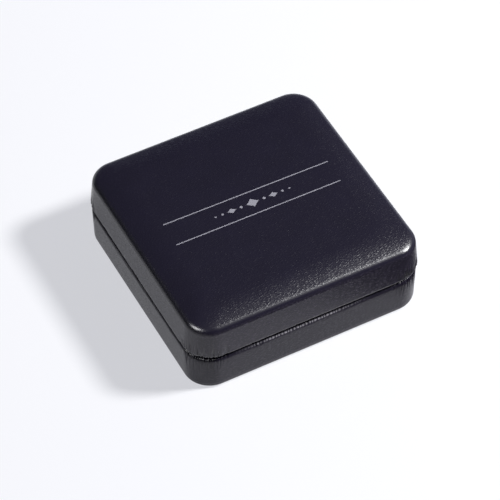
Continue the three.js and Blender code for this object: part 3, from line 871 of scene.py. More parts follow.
@dataclass
class FoilStamp:
    """Decoration hot-stamped on the flat of the lid in dull silver-grey foil: two rules and an ornament."""

    rule_width: float = 0.26 * MM
    rule_waver: float = 0.04
    rear_rule: tuple[float, float, float, float] = (-20.9, 4.24, 21.89, 3.78)
    front_rule: tuple[float, float, float, float] = (-20.93, -2.54, 21.57, -2.79)
    ornament_middle: tuple[float, float] = (0.4, 0.68)
    thickness: float = 0.012 * MM
    rule_steps: int = 160
    dot_sides: int = 24

    def flat_piece(self, name: str, shapes: list[Grid], z: float, material: bpy.types.Material) -> bpy.types.Object:
        """Turns closed outlines into thin stamped shapes.

        Each outline becomes a closed prism from just under the covering to the foil's thickness above it. Both
        ends of the prism are ladders of quads between the outline's two long sides: a fan from the middle would
        fold over itself in a long strip whose edges waver.

        Args:
            name: the piece's name.
            shapes: outlines as rows of x and y in millimetres, anticlockwise, each with an even count of points
                and its two halves facing each other.
            z: height of the covering.
            material: the foil's finish.

        Returns:
            The new piece, riding on the lid.
        """
        points, sides, caps, start = [], [], [], 0
        for outline in shapes:
            count = len(outline)
            for level in (z - self.thickness, z + self.thickness):
                points.append(np.concatenate([outline * MM, np.full((count, 1), level)], axis=1))
            low = start + np.arange(count)
            low_next = start + (np.arange(count) + 1) % count
            sides.append(np.stack([low, low_next, low_next + count, low + count], axis=1))
            rung = np.arange(count // 2 - 1)
            near, far = start + rung, start + count - 1 - rung
            caps.append(np.stack([near, near + 1, far - 1, far], axis=1) + count)
            caps.append(np.stack([far, far - 1, near + 1, near], axis=1))
            start += 2 * count
        piece = mesh_object(name, np.concatenate(points), [np.concatenate(sides), np.concatenate(caps)])
        piece.data.materials.append(material)
        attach(piece, Body.LID.value)
        return piece

    def rule(self, ends: tuple[float, float, float, float], seed: int) -> Grid:
        """Outline of one rule: a straight strip whose edges waver a little, as foil does over the grain.

        Each edge lies half the width off the middle line, times 1 plus the waver times seeded normal noise.

        Args:
            ends: x and y of the left and right ends in millimetres.
            seed: seeds the waver.

        Returns:
            The outline, anticlockwise.
        """
        rng = np.random.default_rng(seed)
        share = np.linspace(0, 1, self.rule_steps)[:, None]
        left, right = np.array(ends[:2]), np.array(ends[2:])
        middle = left * (1 - share) + right * share
        across = np.array([-(right - left)[1], (right - left)[0]]) / np.linalg.norm(right - left)
        half = self.rule_width / MM / 2
        edges = half * (1 + self.rule_waver * rng.standard_normal((2, self.rule_steps, 1)))
        return np.concatenate([middle - edges[0] * across, (middle + edges[1] * across)[::-1]])

    def lozenge(self, x: float, y: float, wide: float, tall: float) -> Grid:
        """Outline of a lozenge whose sides curve in slightly: |x/a|^0.85 + |y/b|^0.85 = 1.

        Args:
            x: x of its middle in millimetres, like the other sizes.
            y: y of its middle.
            wide: its whole width.
            tall: its whole height.

        Returns:
            The outline, anticlockwise.
        """
        angle = np.linspace(0, 2 * np.pi, 33)[:-1]
        c, s = np.cos(angle), np.sin(angle)
        power = 2 / 0.85
        return np.stack(
            [x + wide / 2 * np.sign(c) * np.abs(c) ** power, y + tall / 2 * np.sign(s) * np.abs(s) ** power], axis=1
        )

    def dot(self, x: float, y: float, size: float) -> Grid:
        """Outline of a round dot: half its size times the cosine and sine round its middle."""
        angle = np.linspace(0, 2 * np.pi, self.dot_sides, endpoint=False)
        return np.stack([x + size / 2 * np.cos(angle), y + size / 2 * np.sin(angle)], axis=1)

    def ornament(self) -> list[Grid]:
        """A lozenge in the middle, then dots and smaller lozenges to both sides, all in millimetres.

        Returns:
            Their outlines.
        """
        x0, y0 = self.ornament_middle
        shapes = [self.lozenge(x0, y0, 3.4, 2.6)]
        for side in (-1, 1):
            shapes += [self.dot(x0 + side * 3.0, y0, 0.7), self.lozenge(x0 + side * 5.4, y0, 2.4, 1.5)]
            shapes += [self.dot(x0 + side * 7.8, y0, 0.6), self.dot(x0 + side * 9.6, y0, 0.45)]
        return shapes

    def make(self, z: float, material: bpy.types.Material) -> list[bpy.types.Object]:
        """Builds the rules and the ornament.

        Args:
            z: height of the covering.
            material: the foil's finish.

        Returns:
            The three pieces.
        """
        return [
            self.flat_piece("foil_rule_rear", [self.rule(self.rear_rule, 3)], z, material),
            self.flat_piece("foil_rule_front", [self.rule(self.front_rule, 4)], z, material),
            self.flat_piece("foil_ornament", self.ornament(), z, material),
        ]


@dataclass
class Collar:
    """The inner collar of the base, whose covered top shows in the parting gap."""

    plan: CasePlan
    inset: float = 2.7 * MM
    thickness: float = 1.0 * MM
    bevel: float = 0.3 * MM
    notch_half_length: float = 13.3 * MM

    def make(self, material: bpy.types.Material) -> bpy.types.Object:
        """Builds the collar as a band round three sides, closed at both ends by the hinge bay.

        Its profile is a wall whose top has a quarter circle on each side, carried along the plan outline.

        Args:
            material: the glazed paper.

        Returns:
            The collar.
        """
        low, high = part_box("rim_collar")
        floor, top = low[2], high[2]
        outer, inner = self.inset, self.inset + self.thickness
        profile = np.concatenate(
            [
                line((outer, floor), (outer, top - self.bevel), 12),
                arc((outer + self.bevel, top - self.bevel), self.bevel, 0, 90, 5),
                arc((inner - self.bevel, top - self.bevel), self.bevel, 90, 180, 5),
                np.array([[inner, floor]]),
            ]
        )
        notch = self.plan.bay(self.notch_half_length)
        start = int(np.argmax(notch))
        kept = ~np.roll(notch, -start)
        places = np.roll(self.plan.sweep(profile), -start, axis=1)[:, kept].transpose(1, 0, 2)
        piece = mesh_object("rim_collar_covered", *closed_grid(places, flip=True))
        piece.data.materials.append(material)
        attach(piece, Body.BASE.value)
        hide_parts("rim_collar")
        return piece


@dataclass
class SatinPad:
    """The padded lining of the lid: satin drawn over foam and turned over the edge of a card."""

    plan: CasePlan
    inset: float
    lowest: float
    back: float
    edge_height: float = (0.9 + 1.0 + 0.4 + 0.2) * MM  # edge radius, card, satin and clearance
    edge_radius: float = 0.9 * MM
    crown_reach: float = 16.0 * MM
    swell: float = 0.45 * MM
    slack: float = 0.42 * MM
    enlarge: float = 10.0
    voxel: float = 0.006
    pressure: float = 4.0
    frames: int = 20

    def closed_surface(self) -> Grid:
        """The whole pad as a closed surface, from the middle of its front, round its edge, to its back.

        The front falls from the edge to the lowest level with the square of the share of the crown's
        reach that is left; the edge is a quarter circle. The lowest level stands back by the slack, which
        the swelling takes up.

        Returns:
            Rows of [inset, z].
        """
        edge_z = self.back - self.edge_height
        lowest = self.lowest + self.slack
        edge = arc((self.inset + self.edge_radius, edge_z), self.edge_radius, -90, 0, 9)
        share = np.linspace(0, 1, 26, endpoint=False)
        start = edge[0]
        reach = self.crown_reach - start[0]
        crown = np.stack([self.crown_reach - reach * share, lowest + (start[1] - lowest) * share**2], axis=1)
        middle = min(self.plan.half_x, self.plan.half_y) - 0.5 * MM
        flat = line((middle, lowest), (self.crown_reach, lowest), 10)
        wall = line((self.inset, edge_z), (self.inset, self.back), 4)[1:]
        behind = line((self.inset, self.back), (middle, self.back), 12)
        return np.concatenate([flat, crown, edge, wall, behind])

    def puffed(self, piece: bpy.types.Object) -> None:
        """Lets the satin settle over its stuffing as cloth.

        The pad is made ten times as large, remeshed, swollen by pressure with its back held, drawn back
        and brought to its own size again. A point's move is drawn back to the swell times the hyperbolic
        tangent of the move over the swell.

        Args:
            piece: the pad, whose mesh is replaced.
        """
        mesh = piece.data
        mesh.transform(Matrix.Scale(self.enlarge, 4))
        remesh = piece.modifiers.new("even_weave", "REMESH")
        remesh.mode = "VOXEL"
        remesh.voxel_size = self.voxel
        bpy.context.view_layer.update()
        graph = bpy.context.evaluated_depsgraph_get()
        even = bpy.data.meshes.new_from_object(piece.evaluated_get(graph))
        piece.modifiers.clear()
        piece.data = even
        count = len(even.vertices)
        before = np.empty(count * 3)
        even.vertices.foreach_get("co", before)
        before = before.reshape(-1, 3)
        held = before[:, 2] > (self.back - 0.5 * MM) * self.enlarge
        group = piece.vertex_groups.new(name="glued_back")
        group.add(np.flatnonzero(held).tolist(), 1.0, "REPLACE")
        cloth = piece.modifiers.new("satin", "CLOTH")
        cloth.settings.vertex_group_mass = "glued_back"
        cloth.settings.use_pressure = True
        cloth.settings.uniform_pressure_force = self.pressure
        cloth.settings.effector_weights.gravity = 0
        cloth.settings.quality = 5
        cloth.settings.bending_stiffness = 0.3
        cloth.point_cache.frame_start = 1
        cloth.point_cache.frame_end = self.frames
        scene = bpy.context.scene
        for step in range(1, self.frames + 1):
            scene.frame_set(step)
        graph = bpy.context.evaluated_depsgraph_get()
        settled = piece.evaluated_get(graph).data
        after = np.empty(count * 3)
        settled.vertices.foreach_get("co", after)
        moved = after.reshape(-1, 3) - before
        far = np.linalg.norm(moved, axis=1)
        limit = self.swell * self.enlarge
        share = limit * np.tanh(far / limit) / np.maximum(far, 1e-9)
        piece.modifiers.clear()
        scene.frame_set(1)
        even.vertices.foreach_set("co", (before + moved * share[:, None]).ravel())
        even.transform(Matrix.Scale(1 / self.enlarge, 4))
        even.update()

    def make(self, material: bpy.types.Material) -> bpy.types.Object:
        """Builds the pad, swells it, and hands it to the lid.

        Args:
            material: the satin.

        Returns:
            The pad.
        """
        piece = mesh_object("lining_satin_pad", *closed_grid(self.plan.sweep(self.closed_surface())))
        weld(piece)
        self.puffed(piece)
        subdivision = piece.modifiers.new("smooth_satin", "SUBSURF")
        subdivision.levels = subdivision.render_levels = 1
        piece.data.shade_smooth()
        piece.data.materials.clear()
        piece.data.materials.append(material)
        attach(piece, Body.LID.value)
        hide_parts("lining_satin")
        return piece


@dataclass
class VelourInsert:
    """The flocked insert: a flat top round a coin recess with two finger scoops, and a skirt."""

    plan: CasePlan
    top: float
    skirt: float
    inset: float = 3.9 * MM
    recess_radius: float = 16.4 * MM
    recess_depth: float = 4.3 * MM
    scoop_radius: float = 5.5 * MM
    scoop_offset: float = 16.4 * MM
    lip: float = 0.6 * MM
    floor_fillet: float = 0.5 * MM
    edge_radius: float = 0.8 * MM
    bay_half: float = 13.2 * MM
    bay_y: float = 24.65 * MM
    cloth: float = 0.45 * MM
    rays: int = 720

    def recess_reach(self, angle: Grid) -> Grid:
        """Distance from the middle to the recess wall in each direction.

        It is the larger of the coin circle's radius and the far crossing of the scoop circle, blended
        over half a millimetre.

        Args:
            angle: directions in radians.

        Returns:
            Distances in metres.
        """
        across = self.scoop_offset * np.sin(angle)
        root = np.sqrt(np.maximum(self.scoop_radius**2 - across**2, 0))
        scoop = np.where(np.abs(across) < self.scoop_radius, self.scoop_offset * np.abs(np.cos(angle)) + root, 0)
        coin = np.full_like(angle, self.recess_radius)
        gap = scoop - coin
        return (scoop + coin + np.hypot(gap, 0.5 * MM)) / 2 - 0.02 * MM

    def outer_reach(self, angle: Grid, inset: float) -> Grid:
        """Distance from the middle to the outline at an inset, cut back at the hinge bay.

        It is read between the outline's own points by angle. In the bay it is at most the y of the bay
        divided by the sine of the angle, which is a straight line.

        Args:
            angle: directions in radians.
            inset: the inset.

        Returns:
            Distances in metres.
        """
        ring = self.plan.outline(np.full((1, self.plan.columns), inset))[0]
        turn = np.arctan2(ring[:, 1], ring[:, 0]) % (2 * math.pi)
        order = np.argsort(turn)
        reach = np.interp(angle, turn[order], np.hypot(ring[:, 0], ring[:, 1])[order], period=2 * math.pi)
        back = self.bay_y - (inset - self.inset)
        with np.errstate(divide="ignore"):
            bay = np.where(np.sin(angle) > 0.1, back / np.maximum(np.sin(angle), 1e-6), np.inf)
        in_bay = np.abs(bay * np.cos(angle)) < self.bay_half + (inset - self.inset)
        return np.where((np.sin(angle) > 0.1) & in_bay, np.minimum(reach, bay), reach)

    def make(self, material: bpy.types.Material) -> bpy.types.Object:
        """Builds the insert from rings about its middle and hands it to the base.

        The rings run out along the recess floor, up its filleted wall, over the lip, the top and the rounded
        edge, down the skirt, and back inside at the cloth's thickness.

        Args:
            material: the velour.

        Returns:
            The insert.
        """
        angle = np.linspace(0, 2 * math.pi, self.rays, endpoint=False)
        wall, fillet, lip, cloth = self.recess_reach(angle), self.floor_fillet, self.lip, self.cloth
        floor, shoulder = self.top - self.recess_depth, self.top - self.edge_radius
        low, high = floor + fillet, self.top - lip
        edge = self.outer_reach(angle, self.inset + self.edge_radius)
        side = self.outer_reach(angle, self.inset)
        under = self.outer_reach(angle, self.inset + cloth)
        rings = [((wall - fillet) * share, floor) for share in np.linspace(0.08, 1, 12)]
        for turn in np.radians([30, 60, 90]):
            rings.append((wall - fillet * (1 - math.sin(turn)), floor + fillet * (1 - math.cos(turn))))
        rings += [(wall, low + (high - low) * share) for share in np.linspace(0.15, 1, 8)]
        for turn in np.radians([15, 30, 45, 60, 75, 90]):
            rings.append((wall + lip * (1 - math.cos(turn)), self.top + lip * (math.sin(turn) - 1)))
        rings += [((wall + lip) * (1 - share) + edge * share, self.top) for share in np.linspace(0.12, 1, 9)]
        for turn in np.radians([72, 54, 36, 18, 0]):
            inset = self.inset + self.edge_radius * (1 - math.cos(turn))
            rings.append((self.outer_reach(angle, inset), self.top - self.edge_radius * (1 - math.sin(turn))))
        rings += [(side, shoulder * (1 - share) + self.skirt * share) for share in np.linspace(0.2, 1, 5)]
        rings += [
            (under, self.skirt),
            (under, shoulder),
            (self.outer_reach(angle, self.inset + self.edge_radius + 0.2 * MM), self.top - cloth),
            (wall + lip + 0.3 * MM, self.top - cloth),
            (wall + cloth, high - 0.3 * MM),
            (wall + cloth, floor),
            (wall - 0.2 * MM, floor - cloth),
            (wall * 0.1, floor - cloth),
        ]
        reach = np.stack([ring[0] for ring in rings])
        height = np.broadcast_to(np.array([ring[1] for ring in rings])[:, None], reach.shape)
        places = np.stack([reach * np.cos(angle), reach * np.sin(angle), height], axis=-1)
        piece = mesh_object("velour_insert", *closed_grid(places, flip=True))
        weld(piece)
        piece.data.materials.append(material)
        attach(piece, Body.BASE.value)
        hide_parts("insert_velour")
        return piece


def rounded_path(points: list[tuple[float, float]], radius: float, steps: int = 6) -> Grid:
    """A path through corner points with each corner rounded.

    Between the points that lie a radius before and after a corner, the path is the quadratic curve
    (1-t)^2 A + 2t(1-t) corner + t^2 B.

    Args:
        points: corner points as y and z.
        radius: how far from the corner the rounding starts.
        steps: points in each rounding.

    Returns:
        The path as rows of y and z.
    """
    corners = np.array(points)
    path = [corners[:1]]
    t = np.linspace(0, 1, steps)[:, None]
    for before, here, after in zip(corners[:-2], corners[1:-1], corners[2:]):
        back, on = before - here, after - here
        a = here + back / np.linalg.norm(back) * min(radius, np.linalg.norm(back) * 0.48)
        b = here + on / np.linalg.norm(on) * min(radius, np.linalg.norm(on) * 0.48)
        path.append((1 - t) ** 2 * a + 2 * t * (1 - t) * here + t**2 * b)
    path.append(corners[-1:])
    return np.concatenate(path)


def strip_shell(path: Grid, thickness: float, start: float, end: float, bevel: float) -> Shell:
    """A bent strip of sheet metal: a path in y and z with a thickness, carried along x.

    Each end is drawn in by the bevel. A point of the outline is the path's point plus or minus half the
    thickness along the path's normal.

    Args:
        path: rows of y and z.
        thickness: the sheet's thickness.
        start: x of one end.
        end: x of the other end.
        bevel: size of the eased edges.

    Returns:
        Points, and arrays of faces.
    """
    run = np.gradient(path, axis=0)
    run /= np.linalg.norm(run, axis=1)[:, None]
    normal = np.stack([-run[:, 1], run[:, 0]], axis=1)
    count = len(path)
    rows = []
    for x, thin in ((start, bevel), (start + bevel, 0.0), (end - bevel, 0.0), (end, bevel)):
        half = thickness / 2 - thin
        trimmed = path.copy()
        trimmed[0] += run[0] * thin
        trimmed[-1] -= run[-1] * thin
        outline = np.concatenate([trimmed + half * normal, (trimmed - half * normal)[::-1]])
        rows.append(np.concatenate([np.full((2 * count, 1), x), outline], axis=1))
    points = np.concatenate(rows)
    quads = grid_faces(4, 2 * count)[:, ::-1]
    i = np.arange(count - 1)
    mirror = 2 * count - 1 - i
    cap = np.stack([i, mirror, mirror - 1, i + 1], axis=1)
    return points, [np.concatenate([quads, cap[:, ::-1], cap + 3 * 2 * count])]


def turned_shell(profile: Grid, sides: int, centre: tuple[float, float, float], axis: int) -> Shell:
    """A turned part: a profile of [radius, distance along the axis] swung about a line.

    Args:
        profile: rows of radius and distance, from one end of the axis to the other.
        sides: how many steps round.
        centre: the point on the axis that distances count from.
        axis: 0 for x and 1 for y.

    Returns:
        Points, and arrays of faces.
    """
    angle = np.linspace(0, 2 * math.pi, sides, endpoint=False)
    across = profile[:, 0][:, None] * np.cos(angle)
    up = profile[:, 0][:, None] * np.sin(angle)
    along = np.broadcast_to(profile[:, 1][:, None], across.shape)
    parts = (along, across, up) if axis == 0 else (up, along, across)
    return closed_grid(np.stack(parts, axis=-1) + np.array(centre))


def joined(name: str, shells: list[Shell], sharp_degrees: float = 35.0) -> bpy.types.Object:
    """One object from several closed shells.

    Args:
        name: the piece's name.
        shells: points and faces of each shell.
        sharp_degrees: edges that turn by more than this stay sharp.

    Returns:
        The new object.
    """
    points, faces, start = [], {3: [], 4: []}, 0
    for shell_points, shell_faces in shells:
        points.append(shell_points)
        for group in shell_faces:
            faces[group.shape[1]].append(group + start)
        start += len(shell_points)
    groups = [np.concatenate(group) for group in faces.values() if group]
    return mesh_object(name, np.concatenate(points), groups, sharp_degrees)


@dataclass
class SnapHinge:
    """The snap hinge: two rolled leaves, a pin, two leaf springs and their rivets."""

    axis_y: float
    axis_z: float
    base_face: float = 27.437 * MM
    lid_face: float = 27.452 * MM
    lid_reach: float = 4.6 * MM
    base_reach: float = 6.0 * MM
    sheet: float = 0.5 * MM
    barrel: float = 1.1 * MM
    knuckle: float = 5.0 * MM
    gap: float = 0.2 * MM
    pin: float = 0.45 * MM
    slot: float = 1.75 * MM
    tongue_width: float = 3.0 * MM
    tongue_reach: float = 3.6 * MM
    tongue_droop: float = 25.0
    spring_sheet: float = 0.35 * MM
    spring_width: float = 3.4 * MM
    spring_clearance: float = 0.3 * MM
    spring_offset: float = 5.2 * MM
    foot_drop: float = 4.8 * MM
    foot: float = 2.4 * MM
    bow_drop: float = 2.2 * MM
    tip_rise: float = 0.8 * MM
    base_rivet_drop: float = 4.8 * MM
    lid_rivet_rise: float = 2.8 * MM
    lid_rivet_offset: float = 9.5 * MM
    rivet_head: float = 0.95 * MM
    rivet_rise: float = 0.42 * MM
    rivet_shank: float = 0.55 * MM
    knuckle_bend: float = 0.45 * MM
    spring_bend: float = 0.7 * MM
    bevel: float = 0.06 * MM

    @property
    def half_length(self) -> float:
        """Half the length of the barrel."""
        return (5 * self.knuckle + 4 * self.gap) / 2

    def knuckle_shell(self, middle: float, side: int, face: float) -> Shell:
        """A knuckle rolled from the leaf: a riser, a bend, and three quarters of a turn round the pin.

        Args:
            middle: x of its middle.
            side: 1 on the lid leaf and -1 on the base leaf.
            face: y of the leaf's outer face.

        Returns:
            Points and faces.
        """
        sheet_y = face - self.sheet / 2
        roll = self.barrel - self.sheet / 2
        web_z = self.axis_z + side * roll
        lead = rounded_path(
            [(sheet_y, self.axis_z + side * (self.slot + 0.6 * MM)), (sheet_y, web_z), (self.axis_y, web_z)],
            self.knuckle_bend,
        )[:-1]
        angle = np.radians(np.linspace(90, -170, 34)) * side
        curl = np.stack([self.axis_y + roll * np.cos(angle), self.axis_z + roll * np.sin(angle)], axis=1)
        path = np.concatenate([lead, curl])
        half = self.knuckle / 2
        return strip_shell(path, self.sheet - 0.02 * MM, middle - half, middle + half, self.bevel)

    def leaf(self, name: str, node: str, body: Body, side: int, face: float, reach: float) -> bpy.types.Object:
        """A leaf: its plate, its knuckles and, on the lid leaf, the two tongues that the springs press.

        Plate and tongues are straight strips. A tongue leaves the barrel at the droop angle below level.

        Args:
            name: the piece's name.
            node: the CAD node that it stands for.
            body: the body that it moves with.
            side: 1 on the lid leaf and -1 on the base leaf.
            face: y of the leaf's outer face.
            reach: how far the plate reaches from the axis.

        Returns:
            The leaf.
        """
        y = face - self.sheet / 2
        plate = np.array([(y, self.axis_z + side * up) for up in (reach, (reach + self.slot) / 2, self.slot)])
        shells = [strip_shell(plate, self.sheet, -self.half_length, self.half_length, self.bevel)]
        pitch = self.knuckle + self.gap
        places = (-1, 1) if side > 0 else (-2, 0, 2)
        for place in places:
            shells.append(self.knuckle_shell(place * pitch, side, face))
        if side > 0:
            droop = math.radians(self.tongue_droop)
            along = np.array([-math.cos(droop), -math.sin(droop)])
            axis = np.array([self.axis_y, self.axis_z])
            roll = self.barrel - self.sheet / 2
            reaches = np.linspace(roll, self.tongue_reach, 8)[:, None]
            path = axis + along * reaches
            half = self.tongue_width / 2
            for place in places:
                shells.append(strip_shell(path, self.sheet, place * pitch - half, place * pitch + half, self.bevel))
        piece = joined(name, shells)
        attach(piece, body.value)
        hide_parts(node)
        return piece

    def spring(self, name: str, node: str, x: float) -> bpy.types.Object:
        """A leaf spring: a riveted foot, a bow forwards, and a blade that stands in front of the tongue.

        Args:
            name: the piece's name.
            node: the CAD node that it stands for.
            x: x of its middle.

        Returns:
            The spring.
        """
        foot_y = self.base_face - self.sheet - 0.05 * MM - self.spring_sheet / 2
        blade_y = self.axis_y - self.tongue_reach - self.spring_clearance - self.spring_sheet / 2
        foot_z = self.axis_z - self.foot_drop
        path = rounded_path(
            [
                (foot_y, foot_z - self.foot / 2),
                (foot_y, foot_z + self.foot / 2 - 0.1 * MM),
                (blade_y, self.axis_z - self.bow_drop),
                (blade_y, self.axis_z + self.tip_rise),
            ],
            self.spring_bend,
        )
        half = self.spring_width / 2
        piece = joined(name, [strip_shell(path, self.spring_sheet, x - half, x + half, 0.04 * MM)])
        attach(piece, Body.BASE.value)
        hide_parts(node)
        return piece

    def rivet(self, name: str, node: str, body: Body, x: float, z: float, face: float) -> bpy.types.Object:
        """A rivet: a domed head with a small hollow, on a plain shank.

        The head is a quarter ellipse, the head's radius times the cosine and its rise times the sine of an
        angle, with its two innermost points moved for the hollow.

        Args:
            name: the piece's name.
            node: the CAD node that it stands for.
            body: the body that it moves with.
            x: x of its axis.
            z: z of its axis.
            face: y of the face that the head lies on.

        Returns:
            The rivet.
        """
        _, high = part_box(node)
        angle = np.radians(np.linspace(90, 0, 9))
        radius, head, shank_radius = self.rivet_head, self.rivet_rise, self.rivet_shank
        dome = np.stack([radius * np.cos(angle), -head * np.sin(angle)], axis=1)
        dome[0] = (0.18 * MM, -head * 0.86)
        dome[1] = (0.28 * MM, -head * 0.99)
        shank = np.array([[shank_radius, 0.02 * MM], [shank_radius, high[1] - face]])
        profile = np.concatenate([dome, shank])
        piece = joined(name, [turned_shell(profile, 32, (x, face, z), 1)])
        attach(piece, body.value)
        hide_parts(node)
        return piece

    def make(
        self, nickel: bpy.types.Material, spring: bpy.types.Material, brass: bpy.types.Material
    ) -> list[bpy.types.Object]:
        """Builds the whole hinge and dresses it.

        Args:
            nickel: the leaves' and pin's plating.
            spring: the springs' tempered steel.
            brass: the rivets' brass.

        Returns:
            All the pieces of the hinge.
        """
        steel = [
            self.leaf("hinge_leaf_base", "hinge_base_leaf", Body.BASE, -1, self.base_face, self.base_reach),
            self.leaf("hinge_leaf_lid", "hinge_lid_leaf", Body.LID, 1, self.lid_face, self.lid_reach),
        ]
        half, r, ease = self.half_length, self.pin, 0.1 * MM
        ends = np.array([[r - ease, -half], [r, ease - half], [r, 0.0], [r, half - ease], [r - ease, half]])
        pin = joined("hinge_pin_wire", [turned_shell(ends, 32, (0, self.axis_y, self.axis_z), 0)])
        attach(pin, Body.BASE.value)
        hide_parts("hinge_pin")
        dressed = [(piece, nickel) for piece in (*steel, pin)]
        base_y = self.base_face - self.sheet - 0.1 * MM - self.spring_sheet
        lid_y = self.lid_face - self.sheet - 0.05 * MM
        base_z, lid_z = self.axis_z - self.base_rivet_drop, self.axis_z + self.lid_rivet_rise
        for sign, side in ((-1, "left"), (1, "right")):
            x, x_lid = sign * self.spring_offset, sign * self.lid_rivet_offset
            blade = self.spring(f"spring_blade_{side}", f"snap_spring_{side}", x)
            low = self.rivet(f"rivet_base_{side}", f"base_rivet_{side}", Body.BASE, x, base_z, base_y)
            high = self.rivet(f"rivet_lid_{side}", f"lid_rivet_{side}", Body.LID, x_lid, lid_z, lid_y)
            dressed += [(blade, spring), (low, brass), (high, brass)]
        for piece, material in dressed:
            piece.data.materials.append(material)
        return [piece for piece, _ in dressed]


@dataclass(frozen=True)
class Lamp:
    """A round soft lamp, by the direction from the case, its distance, its diameter and its power."""

    name: str
    direction: tuple[float, float, float]
    distance: float
    size: float
    watts: float
    glints_only: bool = False

    def make(self) -> None:
        """Adds the lamp, turned to face the case."""
        data = bpy.data.lights.new(self.name, "AREA")
        data.shape = "DISK"
        data.size = self.size
        data.energy = self.watts
        lamp = bpy.data.objects.new(self.name, data)
        towards = Vector(self.direction).normalized()
        lamp.location = towards * self.distance
        lamp.rotation_mode = "QUATERNION"
        lamp.rotation_quaternion = towards.to_track_quat("Z", "Y")
        lamp.visible_diffuse = not self.glints_only
        bpy.context.scene.collection.objects.link(lamp)


def flat_square(name: str, half: float, z: float) -> bpy.types.Object:
    """A flat square that faces up.

    Args:
        name: its name.
        half: half of its side.
        z: its height.

    Returns:
        The new object.
    """
    corners = np.array([[-half, -half, z], [half, -half, z], [half, half, z], [-half, half, z]])
    return mesh_object(name, corners, [np.array([[0, 1, 2, 3]])])


